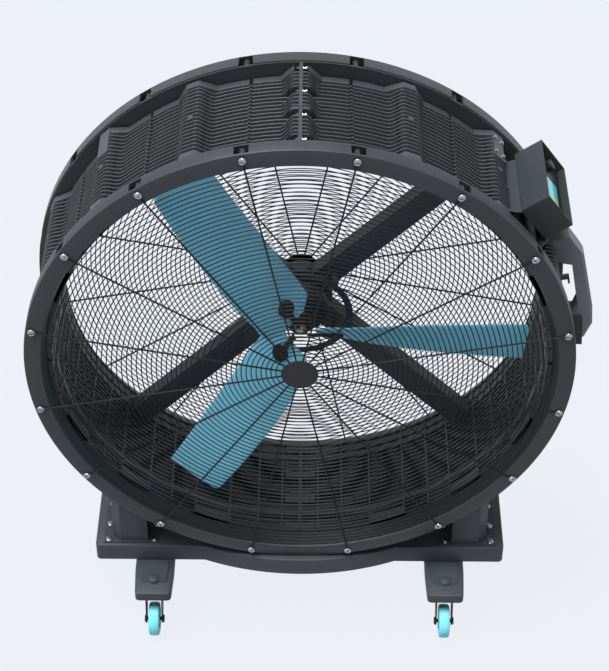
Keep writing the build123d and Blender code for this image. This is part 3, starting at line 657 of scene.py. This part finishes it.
wire_rings, size, result = new_tree("wire_rings", {
    "Count": "Int", "First Radius": "Float", "Pitch": "Float", "Steps": "Int", "Wire Radius": "Float",
    "Wire Sides": "Int", "Tilt": "Float", "Material": "Material",
})
points = add(wire_rings, "GeometryNodePoints", {"Count": size["Count"]}).outputs[0]
radius = counted(wire_rings, size["Pitch"], size["First Radius"])
loop = add(wire_rings, "GeometryNodeCurvePrimitiveCircle", {"Resolution": size["Steps"], "Radius": 1.0})
grow = add(wire_rings, "ShaderNodeCombineXYZ", {"X": radius, "Y": radius, "Z": radius}).outputs[0]
close_wires(wire_rings, copies(wire_rings, points, loop.outputs[0], Scale=grow), size, result)

wire_spokes, size, result = new_tree("wire_spokes", {
    "Count": "Int", "Start": "Float", "End": "Float", "Wire Radius": "Float", "Wire Sides": "Int",
    "Tilt": "Float", "Material": "Material",
})
points = add(wire_spokes, "GeometryNodePoints", {"Count": size["Count"]}).outputs[0]
index = add(wire_spokes, "GeometryNodeInputIndex").outputs[0]
step = maths(wire_spokes, "DIVIDE", 2 * math.pi, size["Count"])
turn = along(wire_spokes, "Z", maths(wire_spokes, "MULTIPLY", maths(wire_spokes, "ADD", index, 0.5), step))
line = add(wire_spokes, "GeometryNodeCurvePrimitiveLine", {
    "Start": along(wire_spokes, "X", size["Start"]), "End": along(wire_spokes, "X", size["End"]),
})
close_wires(wire_spokes, copies(wire_spokes, points, line.outputs[0], Rotation=turn), size, result)

setback = 1.6
behind = from_rear(beside(0))
for name, node, tilt_angle, spoke_depth, ring_depth, turned in (
    ("front_guard", "front_grille", quarter_turn, -spoke_wire / 2, setback, beside(0)),
    ("rear_guard", "rear_grille", -quarter_turn, drum_depth + spoke_wire / 2, drum_depth - setback, behind),
):
    ring_mesh = grown(wire_rings, {
        "Count": ring_count, "First Radius": ring_first / 1000, "Pitch": ring_pitch / 1000,
        "Steps": ring_steps, "Wire Radius": ring_wire / 2000, "Wire Sides": ring_sides,
        "Tilt": tilt_angle, "Material": guard_wire,
    })
    spoke_mesh = grown(wire_spokes, {
        "Count": screw_count, "Start": spoke_start / 1000, "End": spoke_end / 1000,
        "Wire Radius": spoke_wire / 2000, "Wire Sides": spoke_sides,
        "Tilt": tilt_angle, "Material": guard_wire,
    })
    mesh = moved(ring_mesh, ring_depth)
    spoke_part = moved(spoke_mesh, spoke_depth)
    spoke_part.to_mesh(spoke_mesh)
    spoke_part.free()
    mesh.from_mesh(spoke_mesh)
    fit(name, mesh, guard_wire, [node])
    plate = [(disc_radius - 1, -spoke_wire), (disc_radius, -spoke_wire - 1)]
    plate += [(disc_radius - 1, -spoke_wire - 2.2), (disc_radius - 6, -spoke_wire - 2.9)]
    plate += [(0.5, -spoke_wire - 3)]
    turned_piece(node + "_cover", turned, plate, 48, guard_disc, [node + "_disc"])


# Blades.
# Three moulded blades in teal plastic, flat where the hub clamps them and then twisted out to a
# nearly flat tip, with cut corners at the root and a rounded front corner at the tip.
blade_teal = surface("teal_blade_plastic", srgb(140, 224, 255), 0.42, mottle=0.05, grain=500, relief=0.0001)
first_blade_angle = -1.8
root_radius, root_flat, tip_radius = 45.0, 81.0, 637.0
blade_thickness = 6.0
root_station = (185.0, 40.5, 7.0, 164.0)
stations = [
    (0.0, *root_station),
    (0.19, 187.0, 33.6, 12.0, 152.0),
    (0.46, 185.0, 26.0, 16.0, 144.0),
    (0.75, 179.0, 19.6, 19.0, 139.0),
    (1.0, 172.0, 14.5, 19.0, 139.0),
]
cut_width, cut_length, tip_corner = 38.0, 30.0, 16.0


def along_blade(share):
    """Chord, pitch, lead and depth at a share of the twist, on smooth curves through the stations."""
    last = len(stations) - 1
    k = max(i for i in range(last) if stations[i][0] <= share or i == 0)
    before, one, two, after = (stations[min(max(i, 0), last)] for i in (k - 1, k, k + 1, k + 2))
    span = two[0] - one[0]
    t = (share - one[0]) / span
    values = []
    for c in range(1, 5):
        slope_one = (two[c] - before[c]) / (two[0] - before[0]) * span
        slope_two = (after[c] - one[c]) / (after[0] - one[0]) * span
        values.append(
            (2 * t**3 - 3 * t**2 + 1) * one[c] + (t**3 - 2 * t**2 + t) * slope_one
            + (3 * t**2 - 2 * t**3) * two[c] + (t**3 - t**2) * slope_two
        )
    return values


def blade_point(place, out, station, u, t):
    """Point on a blade's section: u along the chord to its front edge, t out of its front side."""
    pitch, lead, depth = math.radians(station[1]), station[2], station[3]
    side = lead + u * math.cos(pitch) - t * math.sin(pitch)
    return place(out, side, depth - u * math.sin(pitch) - t * math.cos(pitch))


twist_start = root_radius + root_flat
corner_start = tip_radius - tip_corner
blade_angles = [first_blade_angle + 120 * k for k in range(3)]
radii = [root_radius + 4 * k for k in range(8)] + [root_radius + 30 + 12.75 * k for k in range(4)]
radii += [twist_start + (corner_start - twist_start) * k / 30 for k in range(31)]
radii += [corner_start + tip_corner * math.sin(math.radians(15 * k)) for k in range(1, 7)]
for number, angle in enumerate(blade_angles, 1):
    mesh = bmesh.new()
    place = beside(angle)
    rows = []
    for out in sorted(set(radii)):
        station = along_blade(max((out - twist_start) / (tip_radius - twist_start), 0))
        cut = max(1 - (out - root_radius) / cut_length, 0) * cut_width
        round_off = max(out - corner_start, 0)
        low_u, high_u = cut - station[0] / 2, station[0] / 2 - cut
        high_u -= tip_corner - math.sqrt(max(tip_corner**2 - round_off**2, 0))
        h = blade_thickness / 2 * (0.55 if out == max(radii) else 1)
        inset = [(0, 0.0), (0.35 * h, 0.6 * h), (1.2 * h, h)]
        upper = [(low_u + a, b) for a, b in inset]
        upper += [(low_u + (high_u - low_u) * k / 8, h) for k in range(1, 8)]
        upper += [(high_u - a, b) for a, b in inset[::-1]]
        lower = [(u, -t) for u, t in upper[-2:0:-1]]
        rows.append([blade_point(place, out, station, u, t) for u, t in upper + lower])
    skin(mesh, rows)
    name = "blade_" + str(number)
    fit(name + "_twisted", mesh, blade_teal, [name], body="rotor")


# Hub, clamp pads and shaft.
# A dark cast hub sits on the shaft behind a bright domed nut. Thin struts run from it to round
# pads that clamp each blade's root against a backing plate with three small bolts.
hub_casting = surface("dark_hub_casting", srgb(40, 42, 45), 0.42, 0.2, mottle=0.12, grain=350, relief=0.0004)
hub_front, hub_rear, hub_radius = 188.0, 238.0, 33.0
strut_root, strut_half, strut_thickness = 20.0, 8.5, 8.0
pad_radius, pad_station, pad_offset, pad_bolt_circle = 26.0, 97.0, -13.0, 14


def on_root(angle):
    """Placer on the flat root of a blade: out from the axis, along its chord, and out of its front."""
    place = beside(angle)
    return lambda out, u, t: blade_point(place, out, root_station, u, t)


mesh = bmesh.new()
profile = [(12, hub_rear), (hub_radius - 3, hub_rear), (hub_radius, hub_rear - 3)]
profile += [(hub_radius, hub_front + 14), (hub_radius - 2, hub_front + 7), (hub_radius - 8, hub_front + 2)]
profile += [(hub_radius - 14, hub_front), (12, hub_front)]
lathe(mesh, beside(0), profile, 40, ring=True)
base, top = blade_thickness / 2, blade_thickness / 2 + strut_thickness
strut = [(-strut_half, base), (strut_half, base), (strut_half, top - 3), (strut_half / 2, top)]
strut += [(-strut_half / 2, top), (-strut_half, top - 3)]
pad = [(pad_radius - 0.5, base), (pad_radius, base + 2), (pad_radius, top - 1), (pad_radius - 2, top + 1)]
pad += [(0.5, top + 1.5)]
for angle in blade_angles:
    place = on_root(angle)
    skin(mesh, [[place(out, pad_offset + u, t) for u, t in strut] for out in (strut_root, pad_station)])
    on_pad = lambda u, v, t, place=place: place(pad_station + u, pad_offset + v, t)
    lathe(mesh, on_pad, pad, 32)
    for k in range(3):
        turn = math.radians(120 * k + 30)
        across, rise = pad_bolt_circle * math.cos(turn), pad_bolt_circle * math.sin(turn)
        at_bolt = lambda u, v, t, on_pad=on_pad, across=across, rise=rise: on_pad(across + u, rise + v, t)
        lathe(mesh, at_bolt, [(4.4, top), (4.4, top + 4.2), (3.4, top + 5)], 6)
fit("cast_hub", mesh, hub_casting, ["hub"], body="rotor", rounding=0.6)

nut = [(17, hub_front), (17, hub_front - 2.5), (14.5, hub_front - 3), (14.5, hub_front - 9)]
nut += [(13, hub_front - 12.5), (9.5, hub_front - 15.5), (5, hub_front - 17.5), (0.4, hub_front - 18)]
turned_piece("domed_nut", beside(0), nut, 28, bright_steel, ["hub_nut"], body="rotor")


# Motor and the cross that carries it.
# A dark painted closed motor with small square vents, a wider front shield and a domed rear cover.
# It sits in a square collar between four pressed steel arms, with a flat hoop on posts before it.
motor_paint = surface("dark_motor_paint", srgb(58, 61, 64), 0.5, grain=450, relief=0.0003)
frame_paint = surface("charcoal_frame_paint", srgb(72, 75, 79), 0.46, grain=500)
shield_front, shield_rear, shield_radius = 250.0, 290.0, 80.0
housing_radius, motor_rear, cover_rear = 61.0, 404.0, 430.0
shell_columns, shell_rows, bar_columns = 96, 19, 12
vent_rows, vent_depth = (3, 5, 7, 9, 12, 14, 16), 6.0

mesh = bmesh.new()
place = beside(0)
depths = [shield_rear + (motor_rear - shield_rear) * k / shell_rows for k in range(shell_rows + 1)]
turns = [2 * math.pi * k / shell_columns for k in range(shell_columns)]
round_shell = [(housing_radius * math.cos(turn), housing_radius * math.sin(turn)) for turn in turns]
skin(mesh, [[place(across, rise, depth) for across, rise in round_shell] for depth in depths])
bmesh.ops.recalc_face_normals(mesh, faces=mesh.faces)
mesh.faces.ensure_lookup_table()
vents = [
    mesh.faces[j * shell_columns + k] for j in vent_rows for k in range(0, shell_columns, 2)
    if k % bar_columns >= 3
]
bmesh.ops.inset_individual(mesh, faces=vents, thickness=0.0002, depth=-vent_depth / 1000)
fit("vented_motor_housing", mesh, motor_paint, ["motor_housing"])

mesh = bmesh.new()
profile = [(12.5, shield_front), (30, shield_front), (34, shield_front + 5), (66, shield_front + 7)]
profile += [(76, shield_front + 10), (shield_radius, shield_front + 15), (shield_radius, shield_front + 21)]
profile += [(shield_radius - 4, shield_front + 22), (shield_radius - 4, shield_front + 26)]
profile += [(shield_radius, shield_front + 27), (shield_radius, shield_rear), (12.5, shield_rear)]
lathe(mesh, place, profile, 64, ring=True)
for k in range(12):
    rib_depths = (shield_front + 4, shield_front + 12)
    block(mesh, beside(30 * k + 15), (38, shield_radius - 4), (-2, 2), rib_depths)
fit("ribbed_motor_shield", mesh, motor_paint, ["motor_front_shield"], rounding=0.6)
profile = [(housing_radius, motor_rear), (housing_radius, motor_rear + 8)]
profile += [(housing_radius - 3, motor_rear + 16), (housing_radius - 10, motor_rear + 22)]
profile += [(housing_radius - 24, motor_rear + 25.5), (0.5, cover_rear)]
turned_piece("domed_motor_cover", place, profile, 64, motor_paint, ["motor_rear_cover"])

arm_front, arm_depth, arm_half, arm_wall, cradle_half = 327.0, 50.0, 35.0, 4.0, 76.0
arm_angles = (45, 135, 225, 315)
arm_rear, inner_half, inner_front = arm_front + arm_depth, arm_half - arm_wall, arm_front + arm_wall
channel = [(-arm_half, arm_rear), (-arm_half, arm_front), (arm_half, arm_front), (arm_half, arm_rear)]
channel += [(inner_half, arm_rear), (inner_half, inner_front)]
channel += [(-inner_half, inner_front), (-inner_half, arm_rear)]
mesh = bmesh.new()
for place in (beside(angle) for angle in arm_angles):
    skin(mesh, [[place(out, side, depth) for side, depth in channel] for out in (cradle_half, inner_radius)])
    for rib in (-18, 0, 18):
        rib_length = (cradle_half + 60, inner_radius - 40)
        block(mesh, place, rib_length, (rib - 1.5, rib + 1.5), (arm_front - 1.2, arm_front + 1))
fit("pressed_motor_arms", mesh, frame_paint, ["motor_arms"], rounding=2.0)

hoop_outer, hoop_inner, hoop_front, hoop_rear = 150.0, 130.0, 247.0, 253.0
mesh = bmesh.new()
section = [(hoop_inner + 2, hoop_front), (hoop_outer - 2, hoop_front), (hoop_outer, hoop_front + 2)]
section += [(hoop_outer, hoop_rear - 2), (hoop_outer - 2, hoop_rear), (hoop_inner + 2, hoop_rear)]
section += [(hoop_inner, hoop_rear - 2), (hoop_inner, hoop_front + 2)]
lathe(mesh, beside(0), section, 72, ring=True)
middle = (hoop_outer + hoop_inner) / 2
for angle in arm_angles:
    block(mesh, beside(angle), (middle - 6, middle + 6), (-6, 6), (hoop_rear - 3, arm_front))
fit("motor_hoop", mesh, motor_paint, ["motor_guard_ring"], rounding=0.8)


# Base tray.
# One sheet of steel folded down all round into an apron, painted charcoal. Its long sides bulge at
# the middle and its corners are rounded; the underside is hollow.
base_paint = surface(
    "charcoal_base_paint", srgb(60, 64, 68), 0.42, mottle=0.08, grain=550, relief=0.00015, shine=0.3
)
tray_half_width, tray_front, tray_bulge, bulge_half = 623.0, 40.0, 55.0, 290.0
tray_low, tray_high = (corner.z * 1000 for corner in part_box("base_tray"))
tray_sheet, tray_corner, tray_edge = 4.0, 14.0, 5.0


def on_floor(x, depth, height):
    """Place in mm from the drum's middle, the drum's front and the floor."""
    return Vector((axis_x + x / 1000, front_y + depth / 1000, height / 1000))


def tray_outline(inset):
    """Outline of the tray in plan, set in from its edge, from its left front corner round."""
    arc_radius = (bulge_half**2 + tray_bulge**2) / (2 * tray_bulge)
    arc_centre = tray_front - tray_bulge + arc_radius
    half_sweep = math.asin(bulge_half / arc_radius)
    side, front, corner = tray_half_width - inset, tray_front + inset, tray_corner - inset
    edge = []
    for k in range(7):
        turn = math.radians(15 * k)
        edge.append((corner - side - corner * math.cos(turn), front + corner - corner * math.sin(turn)))
    for k in range(-14, 15):
        turn = half_sweep * k / 14
        depth = arc_centre - (arc_radius - inset) * math.cos(turn)
        edge.append(((arc_radius - inset) * math.sin(turn), min(depth, front)))
    edge += [(-x, depth) for x, depth in edge[6::-1]]
    return edge + [(x, drum_depth - depth) for x, depth in edge[::-1]]


mesh = bmesh.new()
layers = [(tray_sheet, tray_high - tray_sheet), (tray_sheet, tray_low), (0, tray_low)]
layers += [(0, tray_high - tray_edge), (0.3 * tray_edge, tray_high - 0.3 * tray_edge)]
layers += [(tray_edge, tray_high)]
skin(mesh, [[on_floor(x, depth, height) for x, depth in tray_outline(inset)] for inset, height in layers])
fit("folded_base_tray", mesh, base_paint, ["base_tray"])


# Gussets and their bolts.
# Two folded steel brackets stand on the tray, their tops curved to lie close under the drum. Plated
# hexagon bolts with washers hold their foot plates down.
def paint_node(node, material):
    """A CAD node that keeps its shape gets its material."""
    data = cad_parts[node].data
    data.materials.clear()
    data.materials.append(material)


for side in ("right", "left"):
    paint_node("gusset_" + side, base_paint)

heads_on_points, size, result = new_tree("heads_on_points", {"Head": "Object", "Material": "Material"})
spots_socket = heads_on_points.interface.new_socket("Spots", in_out="INPUT", socket_type="NodeSocketGeometry")
heads_on_points.interface.move(spots_socket, 0)
spots = heads_on_points.nodes["Group Input"].outputs["Spots"]
heads = copies(heads_on_points, spots, held(heads_on_points, size["Head"]))
close_tree(heads_on_points, heads, size["Material"], result)

mesh = bmesh.new()
lathe(mesh, local, [(10, -0.3), (10, 1.4), (9.4, 1.8)], 20)
lathe(mesh, local, [(7.5, 1.7), (7.5, 6.4), (6.4, 7.2)], 6)
hexagon_bolt = stock("hexagon_bolt", mesh)
foot_top = tray_high + 4.0
gusset_bolts = []
for x, depths in ((582, (64, 127, 210)), (444, (63, 126))):
    for depth in depths:
        for side in (-1, 1):
            gusset_bolts += [on_floor(side * x, place, foot_top) for place in (depth, drum_depth - depth)]
mesh = bmesh.new()
mesh.from_mesh(grown(heads_on_points, {"Head": hexagon_bolt, "Material": bright_steel}, gusset_bolts))
fit("gusset_bolts", mesh, bright_steel)


# Castor brackets.
# Cast pads under the tray that reach out past its edge. A raised panel with rounded corners
# tops each pad, and a domed cap covers the kingpin of the castor.
bracket_casting = surface(
    "grey_cast_bracket", srgb(66, 71, 76), 0.48, 0.1, mottle=0.12, grain=320, relief=0.0005
)
castor_x, kingpin_depth, castor_top, pad_height = 443.0, -41.0, 147.0, 36.0
pad_half, nose_half, pad_nose, pad_tail = 59.0, 54.0, -97.0, 120.0
raised_nose, raised_tail, raised_half = -50, 34, 44
post_front, post_half = 50.0, 50.0
cap_radius, cap_height = 17.0, 11.0
pad_top = castor_top + pad_height
corners_of_base = [(side, end) for side in ("right", "left") for end in ("front", "rear")]


def castor_corner(side, end):
    """Placer at one corner of the base, from the castor bracket's own middle, depth and height."""
    across = 1 if side == "right" else -1

    def place(x, depth, height):
        return on_floor(across * (castor_x + x), depth if end == "front" else drum_depth - depth, height)

    return place


def oblong(half, front, rear):
    """Corners of an oblong from its half width and the depths of its two ends."""
    return [(-half, front), (half, front), (half, rear), (-half, rear)]


def rounded_outline(points, radius):
    """Outline with its corners rounded."""
    outline = []
    for k, corner in enumerate(points):
        before, after = Vector(points[k - 1]), Vector(points[(k + 1) % len(points)])
        corner = Vector(corner)
        one = corner + (before - corner).normalized() * radius
        two = corner + (after - corner).normalized() * radius
        for t in (0, 0.25, 0.5, 0.75, 1):
            outline.append(tuple(one * (1 - t) ** 2 + corner * 2 * t * (1 - t) + two * t**2))
    return outline


plan = [(-nose_half, pad_nose), (nose_half, pad_nose), (pad_half, 0), (pad_half, pad_tail)]
plan += [(-pad_half, pad_tail), (-pad_half, 0)]
raised = [(-40, raised_nose), (40, raised_nose), (raised_half, raised_tail), (-raised_half, raised_tail)]
post, post_ends = oblong(post_half, post_front, pad_tail), (pad_top - 3, tray_high - tray_sheet)
for side, end in corners_of_base:
    place = castor_corner(side, end)
    mesh = bmesh.new()
    layers = ((3, castor_top), (0, castor_top + 3), (0, pad_top - 8), (2, pad_top - 3.5), (5, pad_top - 2))
    rows = []
    for inset, height in layers:
        shape = [(x * (1 - inset / pad_half), depth + (inset if depth < 0 else 0)) for x, depth in plan]
        rows.append([place(x, depth, height) for x, depth in rounded_outline(shape, 14 - inset)])
    skin(mesh, rows)
    rows = []
    for inset, height in ((0, pad_top - 3), (0, pad_top + 1.5), (1.5, pad_top + 3)):
        shape = [(x * (1 - inset / raised_half), depth + math.copysign(inset, -depth)) for x, depth in raised]
        rows.append([place(x, depth, height) for x, depth in rounded_outline(shape, 12)])
    skin(mesh, rows)
    skin(mesh, [[place(x, depth, height) for x, depth in post] for height in post_ends])
    corner = end + "_" + side
    fit("cast_bracket_" + corner, mesh, bracket_casting, ["castor_bracket_" + corner])

mesh = bmesh.new()
dome = [(cap_radius, pad_top), (cap_radius, pad_top + 4), (cap_radius - 2, pad_top + 7.5)]
dome += [(cap_radius - 6, pad_top + 10), (0.5, pad_top + cap_height)]
for side, end in corners_of_base:
    place = castor_corner(side, end)
    at_pin = lambda u, v, w, place=place: place(u, kingpin_depth + v, w)
    lathe(mesh, at_pin, [(8, castor_top - 0.3), (8, pad_top + 1)], 24)
    lathe(mesh, at_pin, dome, 28)
fit("kingpin_caps", mesh, bracket_casting, ["castor_kingpins"])


# Castors.
# Swivelling forks of dark plated steel, each with a wheel of bright cyan plastic on a bolt that has
# a nut at each end.
fork_metal = surface("dark_fork_steel", srgb(30, 31, 33), 0.38, 0.3, mottle=0.12, grain=500, relief=0.0001)
wheel_plastic = surface(
    "cyan_wheel_plastic", srgb(126, 222, 236), 0.36, mottle=0.05, grain=450, relief=0.0001
)
wheel_radius, wheel_half, axle_trail, bore = 52.0, 16.0, 44.0, 6.05
tread = [(bore, -wheel_half + 1), (14, -wheel_half), (16, -wheel_half + 3), (35, -wheel_half + 4)]
tread += [(37, -wheel_half), (wheel_radius - 6, -wheel_half), (wheel_radius - 2.2, -wheel_half + 2)]
tread += [(wheel_radius - 0.5, -wheel_half + 6), (wheel_radius, 0)]
tread += [(r, -w) for r, w in tread[-2::-1]]
for side, end in corners_of_base:
    corner = end + "_" + side
    place = castor_corner(side, end)
    paint_node("castor_fork_" + corner, fork_metal)
    paint_node("castor_axle_" + corner, dark_steel)
    at_axle = lambda u, v, w, place=place: place(w, kingpin_depth - axle_trail + u, wheel_radius + v)
    turned_piece(
        "wheel_" + corner, at_axle, tread, 56, wheel_plastic,
        ["castor_wheel_" + corner], body="wheel_" + corner, ring=True,
    )


# Control box.
# A deep open hood of folded and painted steel on a folded strip that is screwed to the drum. A dark
# panel is set down inside it, with a small colour screen, a lamp and a turning knob.
box_paint = surface("grey_box_paint", srgb(50, 54, 57), 0.47, mottle=0.07, grain=500)
panel_face = surface("dark_panel_face", srgb(30, 32, 36), 0.34, mottle=0.08, grain=700, relief=0.0001)
knob_plastic = surface("black_knob_plastic", srgb(26, 27, 29), 0.4, grain=700, relief=0.0001)
lamp_lens = surface("teal_lamp_lens", srgb(70, 190, 200), 0.16, mottle=0.04, grain=300, relief=0.00002)
box_angle, box_floor, box_top, box_half = 36.0, 765.0, 850.0, 62.0
box_front, box_rear, box_sheet = 100.0, 350.0, 4.0
panel_top = 828.0
on_box = beside(box_angle)


def upright_walls(mesh, layers, ring=False):
    """Shape between outlines of side and depth on the control box, each at its own height."""
    skin(mesh, [[on_box(out, side, depth) for side, depth in outline] for outline, out in layers], ring)


def box_outline(inset, radius):
    """Outline of the box seen square to the drum, set in from its sides, with rounded corners."""
    return rounded_outline(oblong(box_half - inset, box_front + inset, box_rear - inset), radius)


mesh = bmesh.new()
layers = [(box_sheet, box_floor + box_sheet, 2), (box_sheet, box_top - 1, 2), (box_sheet - 1, box_top, 3)]
layers += [(1, box_top, 5), (0, box_top - 1, 6), (0, box_floor, 6)]
upright_walls(mesh, [(box_outline(inset, radius), out) for inset, out, radius in layers])
fit("folded_control_box", mesh, box_paint, ["control_box"])

knob_radius, knob_height, knob_depth = 17.0, 16.0, box_rear - 42.0
dial_step, dial_start = math.radians(22.5), 22
marks_shown = (*range(11), 14, 15)
frame_rise = 1.6
frame_edge, window = oblong(39.0, 139.0, 259.0), oblong(34.0, 145.5, 252.5)
mesh = bmesh.new()
layers = [(0, box_floor + box_sheet), (0, panel_top - 1), (1, panel_top)]
upright_walls(mesh, [(box_outline(box_sheet + 0.3 + inset, 2), out) for inset, out in layers])
layers = [(frame_edge, panel_top - 0.5), (frame_edge, panel_top + frame_rise)]
layers += [(window, panel_top + frame_rise), (window, panel_top - 0.5)]
upright_walls(mesh, layers, ring=True)
for k in marks_shown:
    turn = dial_step * k
    mark = lambda u, v, w, turn=turn: on_box(
        w, (dial_start + u) * math.cos(turn) - v * math.sin(turn),
        knob_depth + (dial_start + u) * math.sin(turn) + v * math.cos(turn),
    )
    block(mesh, mark, (0, 3.0), (-0.5, 0.5), (panel_top - 0.3, panel_top + 0.5))
fit("recessed_panel", mesh, panel_face, ["control_panel"])

screen = bpy.data.materials.new("colour_screen")
screen.use_nodes = True
tree = screen.node_tree
shader = tree.nodes["Principled BSDF"]
shader.inputs["Roughness"].default_value = 0.12
shader.inputs["Coat Weight"].default_value = 0.5
spot = add(tree, "ShaderNodeTexCoord").outputs["Object"]
patch_middle = on_box(panel_top + 2, -16, 163.5)
offset = add(tree, "ShaderNodeVectorMath", {0: spot, 1: patch_middle}, operation="DISTANCE").outputs["Value"]
patch = add(tree, "ShaderNodeValToRGB", {"Fac": maths(tree, "MULTIPLY", offset, 20.0)})
stops = patch.color_ramp.elements
stops[0].position, stops[0].color = 0.30, srgb(190, 205, 70)
stops[1].position, stops[1].color = 0.62, srgb(70, 205, 214)
clouds = add(tree, "ShaderNodeTexNoise", {"Vector": spot, "Scale": 30.0, "Detail": 2.0})
tint = add(tree, "ShaderNodeMix", {6: patch.outputs["Color"], 7: srgb(44, 168, 186)}, data_type="RGBA")
tree.links.new(maths(tree, "MULTIPLY", clouds.outputs["Fac"], 0.5), tint.inputs[0])
tree.links.new(tint.outputs[2], shader.inputs["Base Color"])
tree.links.new(tint.outputs[2], shader.inputs["Emission Color"])
shader.inputs["Emission Strength"].default_value = 0.15
ripple = add(tree, "ShaderNodeBump", {"Height": clouds.outputs["Fac"], "Distance": 0.00005})
tree.links.new(ripple.outputs["Normal"], shader.inputs["Normal"])
mesh = bmesh.new()
upright_walls(mesh, [(window, panel_top), (window, panel_top + 1.2)])
fit("colour_screen", mesh, screen, ["control_screen"])

mesh = bmesh.new()
knob_profile = [(1.0, 0.4), (1.0, 3), (0.93, 3.4), (0.90, knob_height - 1.5)]
knob_profile += [(0.82, knob_height - 0.2), (0.4, knob_height), (0.02, knob_height)]
rows = []
for share, height in knob_profile:
    row = []
    for k in range(72):
        turn = math.radians(5 * k)
        groove = 0.9 if 3.2 < height < knob_height - 1 and k % 4 < 2 else 0.0
        r = knob_radius * share - groove
        row.append(on_box(panel_top + height, r * math.cos(turn), knob_depth + r * math.sin(turn)))
    rows.append(row)
skin(mesh, rows)
fit("ribbed_knob", mesh, knob_plastic, ["control_knob"], body="knob")

lamp_dome = [(8, 0), (8, 2.2), (6.4, 2.4), (6.2, 3.2), (4.4, 3.8), (0.3, 4.0)]
at_lamp = lambda u, v, w: on_box(panel_top + w, 33 + u, knob_depth + v)
turned_piece("domed_lamp", at_lamp, lamp_dome, 32, lamp_lens, ["control_lamp"])

bracket_ends = (88.0, 316.0)
folds = [(86, 741), (86, 744.5), (77, 736.5), (66, 768), (62.2, 768), (73, 732)]
mesh = bmesh.new()
for side in (1, -1):
    skin(mesh, [[on_box(out, side * u, depth) for u, out in folds] for depth in bracket_ends])
fit("folded_bracket", mesh, box_paint, ["control_bracket"], rounding=0.8)

bolt_head = [(7.0, 0), (7.0, 1.4), (5.4, 1.6), (5.4, 4.4), (4.2, 5.2)]
small_head = [(3.6, 0), (3.6, 2.4), (2.4, 3.2)]
bolts = [
    (beside(45), bump_radius + 0.3, side, depth, bolt_head, 12) for side in (14, -14) for depth in (300, 362)
]
bolts += [(on_box, 742, 82, depth, small_head, 8) for depth in (96, 195, 308)]
mesh = bmesh.new()
for place, out, side, depth, profile, sides in bolts:
    lathe(mesh, lambda u, v, w: place(out + w, side + u, depth + v), profile, sides)
fit("bracket_bolts", mesh, bright_steel)


# Handle, its foot and the cable hook.
# A chunky moulded handle with an elbow at each end stands on the drum's right side, its lower leg
# pinned in a folded clevis. A small square hook for the lead sits between it and the drum.
handle_plastic = surface("charcoal_handle_plastic", srgb(120, 124, 128), 0.44, mottle=0.08, grain=500)
paint_node("handle", handle_plastic)
paint_node("handle_foot", box_paint)
paint_node("cable_hook", handle_plastic)


# Pieces kept from the frame: the shaft, the plates behind the blades and the motor's collar.
# Each is plain machined or folded steel, held by the pieces round it.
paint_node("fan_shaft", bright_steel)
paint_node("blade_backing_plates", hub_casting)
paint_node("motor_cradle", frame_paint)
